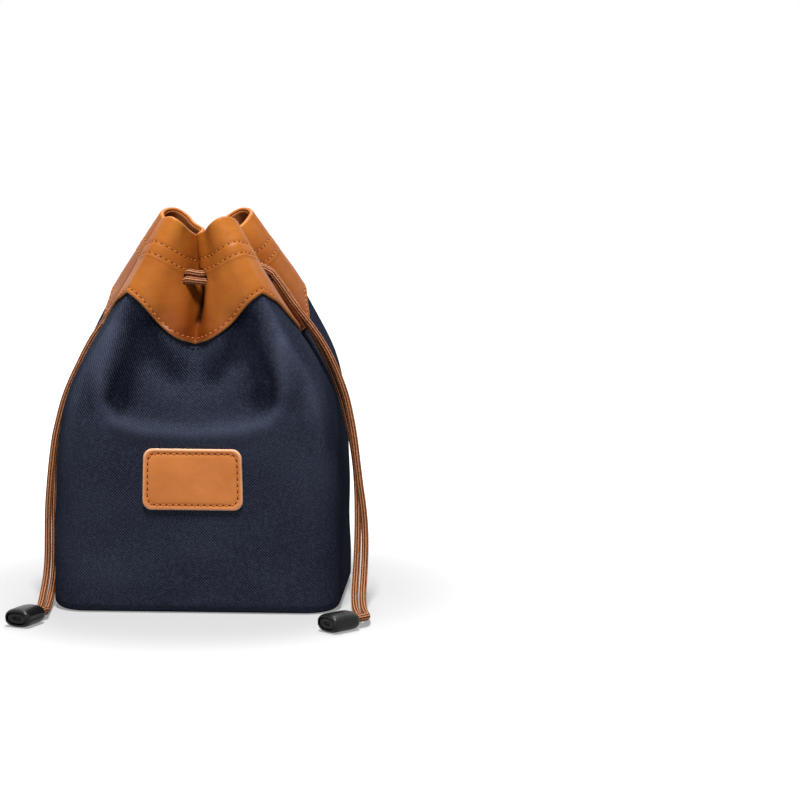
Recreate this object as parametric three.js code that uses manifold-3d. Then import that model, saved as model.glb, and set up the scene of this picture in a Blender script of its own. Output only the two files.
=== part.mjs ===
// A padded drawstring pouch for a camera: a canvas bag with a gathered leather collar,
// two drawcords, and a moulded cord end on each pair of tails.
// Units are millimetres. X is right, Y is away from the front, Z is up.
// The origin is the middle of the underside.
import * as THREE from "three";
import { mergeVertices } from "three/addons/utils/BufferGeometryUtils.js";
import Module from "manifold-3d";

// Driving dimensions of the bag
const BAG_WIDTH = 150;
const BAG_DEPTH = 108;
const BAG_HEIGHT = 203;
const CORNER_RADIUS = 18;
const BOTTOM_RADIUS = 5;
const RIM_DROP = 15;
const RIM_ROUNDING = 3;

// Gathered mouth: four lobes that point to the bag's corners. Lengths here and below are down
// from where the rim's straight runs would meet, above its rounded corners.
const LOBE_HALF_WIDTH = 6;
const LOBE_TIP_X = 10.7;
const LOBE_TIP_Y = 18;
const NECK_LENGTH = 89;
const NECK_SOFTNESS = 26;
const PLEAT_DEPTH = 13;
const PLEAT_WIDTH = 7;
const PLEAT_LENGTH = 106;

// Share of its width that the gathered mouth loses for each millimetre towards the front
const MOUTH_TAPER = 0.0073;

// Folds of the front below the collar: a raised line like a U, and a hollow inside each of its
// legs. Their points are across from the front's middle, and down from the rim.
const RIDGE_LINE = [
  [-40, 43], [-44, 62], [-48, 82], [-47, 96], [-41, 106], [-27, 111], [-1, 113],
  [25, 111], [38, 107], [44, 99], [46.5, 89], [45.5, 67], [41, 44],
];
const HOLLOW_LINES = [
  [[-40, 95], [-38, 87], [-33, 77], [-28, 66], [-20, 56]],
  [[39, 94], [38, 86], [33, 76], [27, 65], [20, 55]],
];
const RIDGE_HEIGHT = 1.4;
const RIDGE_WIDTH = 6.5;
const RIDGE_FADE = [41, 71];
const HOLLOW_DEPTH = 3.2;
const HOLLOW_WIDTH = 8.5;
const HOLLOW_LOSS = 0.65;

// The collar reaches less far down from the rim at the corners than at the middle of each wall
const COLLAR_LENGTH_CORNER = 42;
const COLLAR_LENGTH_MIDDLE = 68;
const COLLAR_LAP = 6;

// Cloth, leather and padding
const CANVAS_THICKNESS = 1.2;
const LEATHER_THICKNESS = 1.4;
const FACING_THICKNESS = 0.8;
const LINING_THICKNESS = 0.8;
const FOAM_THICKNESS = 4;
const FOAM_BELOW_NECK = 14.3;
const FOAM_FLOOR_CLEARANCE = 3;
const FOAM_EDGE_CLEARANCE = 5;
const LINING_BLEND = 14;
const LAYER_GAP = 0.5;
const EDGE_GAP = 1;

// Leather label patch on the front
const LABEL_WIDTH = 53;
const LABEL_HEIGHT = 32;
const LABEL_CORNER = 5;
const LABEL_THICKNESS = 1;
const LABEL_BELOW_NECK = 46.5;

// Drawcords. A slot's place is a distance along the wall from the fold of its pleat.
const CORD_DIAMETER = 3.8;
const CORD_GAP = 0.4;
const CORD_BELOW_RIM = 34;
const FRONT_SLOT_FROM_FOLD = 14;
const SIDE_SLOT_FROM_FOLD = 10.3;
const CORD_INSIDE = 4;
const CORD_OUTSIDE = 3.3;
const CORD_BOW = 1.2;
const CORD_EXIT_SHARE = 0.65;
const CORD_SIDES = 8;
const CORD_JOIN_GAP = 0.8;
const JOIN_GAP = 0.3;

// Slots that the cords pass through, and the eyelets round the side slots
const SLOT_SIDE_CLEARANCE = 1.3;
const SLOT_END_CLEARANCE = 2.8;
const EYELET_WALL = 0.8;
const EYELET_FLANGE = 1.4;
const EYELET_THICKNESS = 0.8;
const EYELET_ROUNDING = 0.3;

// Moulded cord ends
const SHELL_WIDTH = 15;
const SHELL_THICKNESS = 9.5;
const SHELL_LENGTH = 17;
const SHELL_WALL = 1.6;
const SHELL_ENTRY_WALL = 2.4;
const SHELL_ROUNDING = 1.5;
const SHELL_SOFTNESS = 0.3;
const ENTRY_CLEARANCE = 0.5;
const PLUG_HEAD = 2;
const PLUG_RECESS = 0.6;
const PLUG_STEM = 4;
const PLUG_SHOULDER = 1;
const PLUG_CLEARANCE = 0.3;
const PLUG_SLOT_WIDTH = 5;
const PLUG_SLOT_HEIGHT = 1.8;
const PLUG_SLOT_DEPTH = 0.8;

// Where each cord end lies on the floor: its entry, and the way it points in degrees from +X
const LEFT_END = { entry: [-79.4, -77.1], heading: -112 };
const RIGHT_END = { entry: [83.6, -83], heading: -133 };

// Free tails, as the middle line of each pair, chosen by hand:
// x, y, z, and the plan angle from the rear strand to the front one
const LEFT_TAIL = [
  [-37.4, 0, 166.4, 270], [-40.6, 0, 162.4, 270], [-44.6, 0, 157, 270], [-48.9, 0, 150.8, 270],
  [-53.4, 0, 144, 270], [-57.8, 0, 137.6, 268], [-61.8, 0, 130.6, 266], [-66, -0.5, 122, 264],
  [-70.2, -1, 113, 262], [-73.6, -1.5, 104, 260], [-76.2, -2.5, 94, 257], [-78.2, -4, 84, 252],
  [-79.4, -6, 72, 244], [-80.1, -8, 60, 232], [-80.5, -10.5, 47, 220], [-80.3, -13.5, 34, 215],
  [-79.8, -18, 23, 215], [-79.4, -25, 13.6, 205], [-79.2, -35, 7, 190], [-78.6, -46, 3.6, 175],
  [-77.8, -57, 2.6, 166], [-77.2, -66, 3, 161],
];
const RIGHT_TAIL = [
  [37.4, 0, 170.4, -90], [41, 0, 165.6, -90], [45.8, 0, 158.6, -90], [50.9, 0, 151.4, -80],
  [56.4, 0, 143.6, -65], [61.6, 0, 135.4, -55], [66.2, 0, 126.6, -50], [70.4, 0, 117, -50],
  [74, -0.5, 107, -52], [76.8, -1.5, 96, -58], [79.2, -3, 84, -66], [81, -5, 72, -72],
  [82.4, -7.5, 60, -64], [83.5, -10, 49, -44], [84.2, -13.5, 37.4, -24], [84.4, -19, 25.6, -10],
  [84.3, -27, 14.8, -2], [84.5, -38, 7.2, 2], [85.6, -50, 3.8, 6], [87.2, -60, 2.8, 5],
  [88.7, -69.5, 3.4, 2],
];

// Mesh density. Places between a wall's middle and a corner are closer in the pleat and at the
// corner, and closer all over the front, for its folds.
const HALF_FRONT = [0, 0.045, 0.09, 0.135, 0.18, 0.225, 0.27, 0.315, 0.37, 0.44];
const HALF_WALL = [0, 0.06, 0.14, 0.25, 0.38, 0.45];
const LOW_LINE_PARTS = [0.4, 0.75, 0.86, 0.93];
const NECK_LINE_COUNT = 4;
const BOTTOM_TURN_STEPS = 3;
const LABEL_CORNER_STEPS = 4;
const PAD_COLUMNS = 6;
const OVAL_STEPS = 16;
const LOOP_STEPS = 52;
const TAIL_STEPS = 32;

// Values worked out from the sizes above
const RIM_TOP = BAG_HEIGHT + RIM_ROUNDING;
const NECK_START = RIM_TOP - NECK_LENGTH;
const COLLAR_EDGE_HIGH = RIM_TOP - COLLAR_LENGTH_CORNER;
const COLLAR_EDGE_LOW = RIM_TOP - COLLAR_LENGTH_MIDDLE;
const CORD_LEVEL = RIM_TOP - CORD_BELOW_RIM;
const PLEAT_START = RIM_TOP - PLEAT_LENGTH;
const PLEAT_FULL = CORD_LEVEL;
const LABEL_MIDDLE = NECK_START - LABEL_BELOW_NECK;
const LEATHER_OUTER = LAYER_GAP + LEATHER_THICKNESS;
const STRAND_PITCH = CORD_DIAMETER + CORD_GAP;
const LEVEL_OF_RIGHT_CORD = CORD_LEVEL + STRAND_PITCH / 2;
const LEVEL_OF_LEFT_CORD = CORD_LEVEL - STRAND_PITCH / 2;
const FOAM_OUTER = -(CANVAS_THICKNESS + LAYER_GAP);
const FOAM_INNER = FOAM_OUTER - FOAM_THICKNESS;
const LINING_LOW = FOAM_INNER - LAYER_GAP;
const LINING_HIGH = FOAM_OUTER;
const BASE_FOAM_TOP = CANVAS_THICKNESS + LAYER_GAP + FOAM_THICKNESS;
const FOAM_BOTTOM = BASE_FOAM_TOP + FOAM_FLOOR_CLEARANCE;
const FOAM_TOP = NECK_START - FOAM_BELOW_NECK;
const LINING_FLOOR = BASE_FOAM_TOP + LAYER_GAP;
const BASE_FOAM_INSET = CANVAS_THICKNESS + BOTTOM_RADIUS;
const WIDE_FOAM = BAG_WIDTH / 2 - CORNER_RADIUS - FOAM_EDGE_CLEARANCE;
const DEEP_FOAM = BAG_DEPTH / 2 - CORNER_RADIUS - FOAM_EDGE_CLEARANCE;
const SLOT_HALF_WIDTH = CORD_DIAMETER / 2 + SLOT_SIDE_CLEARANCE;
const SLOT_HALF_HEIGHT = STRAND_PITCH / 2 + CORD_DIAMETER / 2 + SLOT_END_CLEARANCE;
const ENTRY_HALF_WIDTH = STRAND_PITCH / 2 + CORD_DIAMETER / 2 + ENTRY_CLEARANCE;
const ENTRY_HALF_HEIGHT = CORD_DIAMETER / 2 + ENTRY_CLEARANCE;
const SHELL_AXIS_HEIGHT = SHELL_THICKNESS / 2;

const wasm = await Module();
wasm.setup();

const material = (color, roughness, metalness = 0) =>
  new THREE.MeshStandardMaterial({ color, roughness, metalness });
const CANVAS = material(0x343945, 0.85);
const LEATHER = material(0xb0662c, 0.5);
const LABEL = material(0xc47a3c, 0.5);
const FACING = material(0x6b3514, 0.7);
const LINING = material(0x23262e, 0.95);
const FOAM = material(0x2c2c2e, 0.95);
const CORD = material(0x764f3b, 0.8);
const MOULDED = material(0x17171a, 0.45);

const smooth = (value) => {
  const limited = Math.min(1, Math.max(0, value));
  return limited * limited * (3 - 2 * limited);
};

// Turn a list of rings into one closed surface. Each ring is a loop of points of one length.
// With poles, a middle point closes each end. Without them, the last ring joins the first.
// Each four-sided face is split along its shorter diagonal, so that parallel faces stay clear.
function skin(rings, poles) {
  const count = rings[0].length;
  const positions = rings.flat();
  const index = [];
  const bands = poles ? rings.length - 1 : rings.length;
  for (let band = 0; band < bands; band += 1) {
    const low = band * count;
    const high = ((band + 1) % rings.length) * count;
    for (let step = 0; step < count; step += 1) {
      const next = (step + 1) % count;
      const [a, b, c, d] = [low + step, low + next, high + next, high + step];
      const shorter = positions[a].distanceTo(positions[c]) < positions[b].distanceTo(positions[d]);
      index.push(...(shorter ? [a, b, c, a, c, d] : [a, b, d, b, c, d]));
    }
  }
  if (poles) {
    const first = positions.push(poles[0]) - 1;
    const last = positions.push(poles[1]) - 1;
    const top = (rings.length - 1) * count;
    for (let step = 0; step < count; step += 1) {
      const next = (step + 1) % count;
      index.push(first, next, step);
      index.push(last, top + step, top + next);
    }
  }
  const geometry = new THREE.BufferGeometry();
  const flat = positions.flatMap((point) => [point.x, point.y, point.z]);
  geometry.setAttribute("position", new THREE.Float32BufferAttribute(flat, 3));
  geometry.setIndex(index);
  return geometry;
}

function toSolid(geometry) {
  const plain = geometry.clone();
  plain.deleteAttribute("normal");
  plain.deleteAttribute("uv");
  const merged = mergeVertices(plain, 1e-4);
  const mesh = new wasm.Mesh({
    numProp: 3,
    vertProperties: new Float32Array(merged.attributes.position.array),
    triVerts: new Uint32Array(merged.index.array),
  });
  return new wasm.Manifold(mesh);
}

function fromSolid(solid) {
  const mesh = solid.getMesh();
  const geometry = new THREE.BufferGeometry();
  geometry.setAttribute("position", new THREE.BufferAttribute(mesh.vertProperties, 3));
  geometry.setIndex(new THREE.BufferAttribute(mesh.triVerts, 1));
  return geometry;
}

const cutAway = (geometry, cutters) =>
  fromSolid(cutters.reduce((solid, cutter) => solid.subtract(toSolid(cutter)), toSolid(geometry)));

// The wall is followed by a place from 0 to 4: 0 is the middle of the front, 1 the middle of
// the right side, 2 the back and 3 the left. A whole number and a half is a corner.
function quarterPlace(place) {
  const turn = ((place % 4) + 4) % 4;
  const quarter = Math.floor(turn);
  const share = turn - quarter;
  const signX = quarter < 2 ? 1 : -1;
  const signY = quarter === 0 || quarter === 3 ? -1 : 1;
  const fromFront = quarter % 2 === 0;
  return { share: fromFront ? share : 1 - share, signX, signY };
}

// Plan of the full bag: a quarter of a rounded rectangle, from the front's middle to the side's
function bodyQuarter(share) {
  const arc = (CORNER_RADIUS * Math.PI) / 4;
  const straightX = BAG_WIDTH / 2 - CORNER_RADIUS;
  const straightY = BAG_DEPTH / 2 - CORNER_RADIUS;
  if (share < 0.5) {
    return alongHalf(share * 2, straightX, arc, (distance) => [distance, BAG_DEPTH / 2]);
  }
  const [y, x] = alongHalf((1 - share) * 2, straightY, arc, (distance) => [distance, BAG_WIDTH / 2]);
  return [x, y];
}

// Half of a quarter: a straight run, and then half of the corner's arc
function alongHalf(part, straight, arc, line) {
  const distance = part * (straight + arc);
  if (distance <= straight) {
    return line(distance);
  }
  const angle = (distance - straight) / CORNER_RADIUS;
  const [, reach] = line(0);
  return [
    straight + CORNER_RADIUS * Math.sin(angle),
    reach - CORNER_RADIUS + CORNER_RADIUS * Math.cos(angle),
  ];
}

// Plan of the gathered mouth: one lobe, from the front's crease round its tip to the side's
function mouthQuarter(share) {
  const reach = Math.hypot(LOBE_TIP_X, LOBE_TIP_Y);
  const [alongX, alongY] = [LOBE_TIP_X / reach, LOBE_TIP_Y / reach];
  const frontCrease = (LOBE_HALF_WIDTH * alongY) / alongX;
  const sideCrease = (LOBE_HALF_WIDTH * alongX) / alongY;
  const halfTip = (LOBE_HALF_WIDTH * Math.PI) / 2;
  const isFront = share < 0.5;
  const start = isFront ? frontCrease : sideCrease;
  const side = isFront ? 1 : -1;
  const distance = (isFront ? share : 1 - share) * 2 * (reach - start + halfTip);
  const straight = Math.min(distance, reach - start) + start;
  const angle = Math.max(0, distance - (reach - start)) / LOBE_HALF_WIDTH;
  const out = straight + LOBE_HALF_WIDTH * Math.sin(angle);
  const across = LOBE_HALF_WIDTH * Math.cos(angle) * side;
  return [out * alongX - across * alongY, out * alongY + across * alongX];
}

// How far the wall has drawn in at a height: 0 at the floor and 1 at the top of the rim
function neckShare(height) {
  const soft = NECK_SOFTNESS / NECK_LENGTH;
  const bend = (level) => {
    const past = (level - NECK_START) / NECK_LENGTH;
    return (past + Math.hypot(past, soft)) / 2;
  };
  return (bend(height) - bend(0)) / (bend(RIM_TOP) - bend(0));
}

function pleatDepth(height) {
  const rise = smooth((height - PLEAT_START) / (PLEAT_FULL - PLEAT_START));
  const top = Math.max(0, (height - PLEAT_FULL) / (RIM_TOP - PLEAT_FULL));
  return PLEAT_DEPTH * rise * (1 - top * top);
}

// Distance from a point of the front to a line of straight pieces, and the share of the line
// up to the nearest spot
function nearestOnLine(across, down, line) {
  let nearest = { distance: Infinity, share: 0 };
  for (let piece = 0; piece < line.length - 1; piece += 1) {
    const [[startX, startY], [endX, endY]] = [line[piece], line[piece + 1]];
    const [runX, runY] = [endX - startX, endY - startY];
    const along = ((across - startX) * runX + (down - startY) * runY) / (runX ** 2 + runY ** 2);
    const part = Math.min(1, Math.max(0, along));
    const distance = Math.hypot(across - startX - part * runX, down - startY - part * runY);
    if (distance < nearest.distance) {
      nearest = { distance, share: (piece + part) / (line.length - 1) };
    }
  }
  return nearest;
}

// How far the front's folds stand out, towards the front
function frontFold(place, across, height) {
  const fromMiddle = Math.abs(((((place + 2) % 4) + 4) % 4) - 2);
  const onFront = smooth((0.53 - fromMiddle) / 0.06);
  if (onFront === 0) {
    return 0;
  }
  const down = RIM_TOP - height;
  const [fadeStart, fadeEnd] = RIDGE_FADE;
  const ridge = nearestOnLine(across, down, RIDGE_LINE);
  let fold = RIDGE_HEIGHT * Math.exp(-((ridge.distance / RIDGE_WIDTH) ** 2));
  fold *= smooth((down - fadeStart) / (fadeEnd - fadeStart));
  for (const line of HOLLOW_LINES) {
    const hollow = nearestOnLine(across, down, line);
    const depth = HOLLOW_DEPTH * (1 - HOLLOW_LOSS * hollow.share);
    fold -= depth * Math.exp(-((hollow.distance / HOLLOW_WIDTH) ** 2));
  }
  return onFront * fold;
}

// The outer face of the canvas, before any offset
function wallSurface(place, height) {
  const { share, signX, signY } = quarterPlace(place);
  const [bodyX, bodyY] = bodyQuarter(share);
  const [mouthX, mouthY] = mouthQuarter(share);
  const drawn = neckShare(height);
  const x = bodyX + (mouthX - bodyX) * drawn;
  const y = bodyY + (mouthY - bodyY) * drawn;
  const depth = pleatDepth(height);
  const frontPush = depth * Math.exp(-((x / PLEAT_WIDTH) ** 2));
  const sidePush = depth * Math.exp(-((y / PLEAT_WIDTH) ** 2));
  const taper = 1 + MOUTH_TAPER * signY * y * drawn;
  const wall = new THREE.Vector3(signX * (x - sidePush) * taper, signY * (y - frontPush), height);
  wall.y -= frontFold(place, wall.x, height);
  return wall;
}

function wallFrame(place, height) {
  const step = 0.02;
  const rise = 0.5;
  const low = Math.max(0, height - rise);
  const across = wallSurface(place + step, height).sub(wallSurface(place - step, height));
  const up = wallSurface(place, height + rise).sub(wallSurface(place, low));
  const normal = new THREE.Vector3().crossVectors(across, up).normalize();
  return { normal, alongPlace: across.length() / (2 * step), up: up.normalize() };
}

// A point on the wall, moved out from the canvas's outer face by offset
const wallPoint = (place, height, offset) =>
  wallSurface(place, height).addScaledVector(wallFrame(place, height).normal, offset);

// A point on the body's plan, moved straight in by inset
function planPoint(place, inset, height) {
  const step = 0.02;
  const across = wallSurface(place + step, 0).sub(wallSurface(place - step, 0)).normalize();
  const point = wallSurface(place, 0);
  return new THREE.Vector3(point.x - across.y * inset, point.y + across.x * inset, height);
}

const PLACES = [HALF_FRONT, HALF_WALL, HALF_WALL, HALF_WALL].flatMap((half, wall, halves) => [
  ...half.map((part) => wall + part), wall + 0.5,
  ...halves[(wall + 1) % 4].slice(1).reverse().map((part) => wall + 1 - part),
]);
const ring = (pointAt) => PLACES.map(pointAt);

// 0 at the middle of a wall and 1 at a corner. The rim runs straight down from its rounded
// corners to the pleats, and the collar's scalloped edge curves a little.
const cornerShare = (place) => 2 * Math.abs(place - Math.round(place));
const curvedShare = (place) => (cornerShare(place) + (1 - Math.cos(place * 2 * Math.PI)) / 2) / 2;
const rimHeight = (place) => RIM_TOP - Math.hypot(RIM_DROP * (1 - cornerShare(place)), RIM_ROUNDING);
const collarEdge = (place) =>
  COLLAR_EDGE_LOW + (COLLAR_EDGE_HIGH - COLLAR_EDGE_LOW) * curvedShare(place);
const canvasTop = (place) => collarEdge(place) + COLLAR_LAP;

const facingEdge = (place) => canvasTop(place) + EDGE_GAP;
const facingTop = (place) => rimHeight(place) - EDGE_GAP;

// Lines round the wall that every layer shares, so that the layers stay parallel
const partsOf = (count) => Array.from({ length: count }, (_, step) => (step + 1) / count);
const between = (low, high, count) =>
  partsOf(count).map((part) => (place) => low(place) + (high(place) - low(place)) * part);
const padLine = () => FOAM_TOP + EDGE_GAP;
const blendLine = () => FOAM_TOP + LINING_BLEND;
const LOW_LINES = LOW_LINE_PARTS.map((part) => () => part * padLine());
const NECK_LINES = [
  ...between(padLine, blendLine, 2), ...between(blendLine, collarEdge, NECK_LINE_COUNT),
];
const CANVAS_LINES = [() => BOTTOM_RADIUS, ...LOW_LINES, padLine, ...NECK_LINES, canvasTop];
const FACING_LINES = [facingEdge, ...between(facingEdge, facingTop, 5)];
const COLLAR_LINES = [collarEdge, canvasTop, ...FACING_LINES, rimHeight];

// A sleeve along a list of lines, with an outer and an inner face
function sleeveRings(lines, outer, inner) {
  const face = (offset) => lines.map((line) => ring((place) => wallPoint(place, line(place), offset)));
  return [...face(outer), ...face(inner).reverse()];
}

function canvasBody() {
  const turns = Array.from({ length: BOTTOM_TURN_STEPS },
    (_, step) => ((step / BOTTOM_TURN_STEPS) * Math.PI) / 2);
  const turned = (thickness) => turns.map((angle) => {
    const radius = BOTTOM_RADIUS - thickness;
    const inset = BOTTOM_RADIUS - radius * Math.sin(angle);
    return ring((place) => planPoint(place, inset, BOTTOM_RADIUS - radius * Math.cos(angle)));
  });
  const wall = sleeveRings(CANVAS_LINES, 0, -CANVAS_THICKNESS);
  return skin([...turned(0), ...wall, ...turned(CANVAS_THICKNESS).reverse()]);
}

// A flat plate on the body's plan
function basePlate(inset, bottom, thickness) {
  const level = (height) => ring((place) => planPoint(place, inset, height));
  const poles = [new THREE.Vector3(0, 0, bottom), new THREE.Vector3(0, 0, bottom + thickness)];
  return skin([level(bottom), level(bottom + thickness)], poles);
}

// The lining lies over the foam, and above it lies against the canvas
function liningBag() {
  const lines = [() => LINING_FLOOR + LINING_THICKNESS * 2, ...LOW_LINES, padLine, ...NECK_LINES, canvasTop];
  const depthAt = (height) => {
    const share = Math.min(1, Math.max(0, (height - padLine()) / (blendLine() - padLine())));
    return LINING_LOW + (LINING_HIGH - LINING_LOW) * share;
  };
  const face = (extra) => lines.map((line) => ring((place) => {
    const height = line(place);
    return wallPoint(place, height, depthAt(height) - extra);
  }));
  const floorInset = -LINING_LOW;
  const under = ring((place) => planPoint(place, floorInset + LINING_THICKNESS, LINING_FLOOR));
  const over = ring((place) =>
    planPoint(place, floorInset + LINING_THICKNESS * 2, LINING_FLOOR + LINING_THICKNESS));
  const rings = [under, ...face(0), ...face(LINING_THICKNESS).reverse(), over];
  const poles = [LINING_FLOOR, LINING_FLOOR + LINING_THICKNESS].map((z) => new THREE.Vector3(0, 0, z));
  return skin(rings, poles);
}

// A foam pad behind one wall. Half width is measured along the wall from its middle.
function foamPad(wall, halfWidth) {
  const grid = (offset, height) => Array.from({ length: PAD_COLUMNS + 1 }, (_, column) => {
    const across = halfWidth * ((2 * column) / PAD_COLUMNS - 1);
    const place = wall + across / wallFrame(wall, 0).alongPlace;
    return wallPoint(place, height, offset);
  });
  const heights = [FOAM_BOTTOM, ...LOW_LINES.map((line) => line()), FOAM_TOP];
  return closeLoops(heights.map((height) =>
    [...grid(FOAM_OUTER, height), ...grid(FOAM_INNER, height).reverse()]));
}

// A stack of loops with flat ends
function closeLoops(loops) {
  const middle = (loop) =>
    loop.reduce((sum, point) => sum.add(point), new THREE.Vector3()).divideScalar(loop.length);
  return skin(loops, [middle(loops[0]), middle(loops[loops.length - 1])]);
}

function labelPatch() {
  const shape = roundedShape(LABEL_WIDTH / 2, LABEL_HEIGHT / 2, LABEL_CORNER);
  const geometry = new THREE.ExtrudeGeometry(shape, {
    depth: LABEL_THICKNESS, bevelEnabled: false, curveSegments: LABEL_CORNER_STEPS,
  });
  const top = wallSurface(0, LABEL_MIDDLE + LABEL_HEIGHT / 2);
  const bottom = wallSurface(0, LABEL_MIDDLE - LABEL_HEIGHT / 2);
  const lean = Math.atan2(top.y - bottom.y, LABEL_HEIGHT);
  const seat = Math.min(wallSurface(0, LABEL_MIDDLE).y, (top.y + bottom.y) / 2) - LAYER_GAP;
  geometry.rotateX(Math.PI / 2 - lean);
  geometry.translate(0, seat, LABEL_MIDDLE);
  return geometry;
}

function roundedShape(halfWidth, halfHeight, corner) {
  const shape = new THREE.Shape();
  const [x, y] = [halfWidth - corner, halfHeight - corner];
  shape.absarc(x, y, corner, 0, Math.PI / 2);
  shape.absarc(-x, y, corner, Math.PI / 2, Math.PI);
  shape.absarc(-x, -y, corner, Math.PI, Math.PI * 1.5);
  shape.absarc(x, -y, corner, Math.PI * 1.5, Math.PI * 2);
  return shape;
}

// How far a slot's place is from its pleat's fold, walked along the wall at the cords' level
function placeFromFold(fold, distance) {
  const step = 0.0001;
  let [place, walked] = [fold, 0];
  while (walked < distance) {
    walked += wallSurface(place, CORD_LEVEL).distanceTo(wallSurface(place + step, CORD_LEVEL));
    place += step;
  }
  return place - fold;
}
const FRONT_SLOT = placeFromFold(0, FRONT_SLOT_FROM_FOLD);
const SIDE_SLOT = placeFromFold(1, SIDE_SLOT_FROM_FOLD);
const FRONT_SLOTS = [FRONT_SLOT, -FRONT_SLOT, 2 - FRONT_SLOT, 2 + FRONT_SLOT];
const SIDE_SLOTS = {
  right_front: 1 - SIDE_SLOT, right_rear: 1 + SIDE_SLOT,
  left_rear: 3 - SIDE_SLOT, left_front: 3 + SIDE_SLOT,
};

// An oval round a slot that follows the wall, grown by extra, at an offset from the canvas face
function slotOval(place, extra, offset) {
  const { alongPlace } = wallFrame(place, CORD_LEVEL);
  return Array.from({ length: OVAL_STEPS }, (_, step) => {
    const angle = (step / OVAL_STEPS) * 2 * Math.PI;
    const across = (SLOT_HALF_WIDTH + extra) * Math.cos(angle);
    const above = (SLOT_HALF_HEIGHT + extra) * Math.sin(angle);
    return wallPoint(place + across / alongPlace, CORD_LEVEL + above, offset);
  });
}

function slotCutter(place, extra) {
  const reach = LEATHER_THICKNESS + LAYER_GAP + EDGE_GAP;
  return closeLoops([slotOval(place, extra, -reach), slotOval(place, extra, reach)]);
}

function eyelet(place) {
  const seat = LEATHER_OUTER + LAYER_GAP;
  const face = seat + EYELET_THICKNESS;
  const back = -LAYER_GAP;
  return skin([
    slotOval(place, 0, back), slotOval(place, EYELET_WALL, back), slotOval(place, EYELET_WALL, seat),
    slotOval(place, EYELET_FLANGE, seat), slotOval(place, EYELET_FLANGE - EYELET_ROUNDING, face),
    slotOval(place, 0, face),
  ]);
}

const cutSlots = (geometry) => cutAway(geometry, [
  ...FRONT_SLOTS.map((place) => slotCutter(place, 0)),
  ...Object.values(SIDE_SLOTS).map((place) => slotCutter(place, EYELET_WALL + LAYER_GAP)),
]);
const leatherCollar = () => cutSlots(skin(sleeveRings(COLLAR_LINES, LEATHER_OUTER, LAYER_GAP)));
const collarFacing = () => cutSlots(skin(sleeveRings(FACING_LINES, 0, -FACING_THICKNESS)));

// A round cord along a smooth curve through points
function cordTube(points, steps) {
  const shape = new THREE.Shape();
  shape.absarc(0, 0, CORD_DIAMETER / 2, 0, Math.PI * 2);
  const curve = new THREE.CatmullRomCurve3(points, false, "centripetal");
  return new THREE.ExtrudeGeometry(shape, {
    steps, extrudePath: curve, curveSegments: CORD_SIDES / 2, bevelEnabled: false,
  });
}

// The points where a strand goes through a slot, inside and outside the wall
function slotPass(place, level) {
  const { normal } = wallFrame(place, level);
  const through = wallSurface(place, level);
  return {
    inner: through.clone().addScaledVector(normal, -CORD_INSIDE),
    outer: through.clone().addScaledVector(normal, CORD_OUTSIDE),
  };
}

// A held cord: round through all four lobes, with both ends let out at the right. The other
// cord is its mirror image.
function heldCord(side, level, mouth) {
  const lobeRun = (sidePlace, endPlace, signY) => {
    const [start, stop] = [slotPass(sidePlace, level), slotPass(endPlace, level)];
    const middle = start.inner.clone().lerp(stop.inner, 0.5);
    middle.add(new THREE.Vector3(CORD_BOW, signY * CORD_BOW, 0));
    return [start.outer, start.inner, middle, stop.inner, stop.outer];
  };
  const front = lobeRun(1 - SIDE_SLOT, FRONT_SLOT, -1);
  const rear = lobeRun(1 + SIDE_SLOT, 2 - FRONT_SLOT, 1);
  const exit = ([first], signY) => {
    const y = (signY * STRAND_PITCH) / 2;
    const turn = first.x + (mouth.x - first.x) * CORD_EXIT_SHARE;
    return [new THREE.Vector3(mouth.x, y, mouth.z), new THREE.Vector3(turn, y, level)];
  };
  const bridge = (run, signY) => new THREE.Vector3(0, run.at(-1).y + signY * CORD_BOW, level);
  const leftReach = Math.max(front[0].x, rear[0].x) + CORD_BOW / 2;
  const leftMiddle = new THREE.Vector3(-leftReach, 0, level);
  const turned = (points, signX) =>
    points.map((point) => new THREE.Vector3(signX * point.x, point.y, point.z));
  const points = [
    ...exit(front, -1), ...front, bridge(front, -1), ...turned(front, -1).reverse(), leftMiddle,
    ...turned(rear, -1), bridge(rear, 1), ...rear.toReversed(), ...exit(rear, 1).reverse(),
  ];
  return cordTube(turned(points, side), LOOP_STEPS);
}

// One strand of a pair of tails: front is 1 for the front strand and -1 for the rear one
function tailPoints(route, end, front) {
  const points = route.map(([x, y, z, turn]) => {
    const angle = THREE.MathUtils.degToRad(turn);
    const spread = (front * STRAND_PITCH) / 2;
    return new THREE.Vector3(x + spread * Math.cos(angle), y + spread * Math.sin(angle), z);
  });
  const heading = THREE.MathUtils.degToRad(end.heading);
  const across = new THREE.Vector3(-Math.sin(heading), Math.cos(heading), 0);
  const side = end.entry[0] < 0 ? -front : front;
  for (const distance of [-2 * CORD_DIAMETER, 0, SHELL_ENTRY_WALL - JOIN_GAP]) {
    points.push(new THREE.Vector3(
      end.entry[0] + distance * Math.cos(heading),
      end.entry[1] + distance * Math.sin(heading),
      SHELL_AXIS_HEIGHT,
    ).addScaledVector(across, (side * STRAND_PITCH) / 2));
  }
  return points;
}

// Moulded parts are drawn along +X from the cord's entry, with Z as their thickness.
// The oval is flat at top and bottom, where it is as thick as stated.
function oval(halfWidth, halfHeight, x) {
  const power = 0.8;
  const flat = Math.cos(Math.PI / OVAL_STEPS);
  const bulge = (value) => Math.sign(value) * (Math.abs(value) / flat) ** power;
  return Array.from({ length: OVAL_STEPS }, (_, step) => {
    const angle = ((step + 0.5) / OVAL_STEPS) * 2 * Math.PI;
    return new THREE.Vector3(x, halfWidth * bulge(Math.cos(angle)), halfHeight * bulge(Math.sin(angle)));
  });
}

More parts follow.
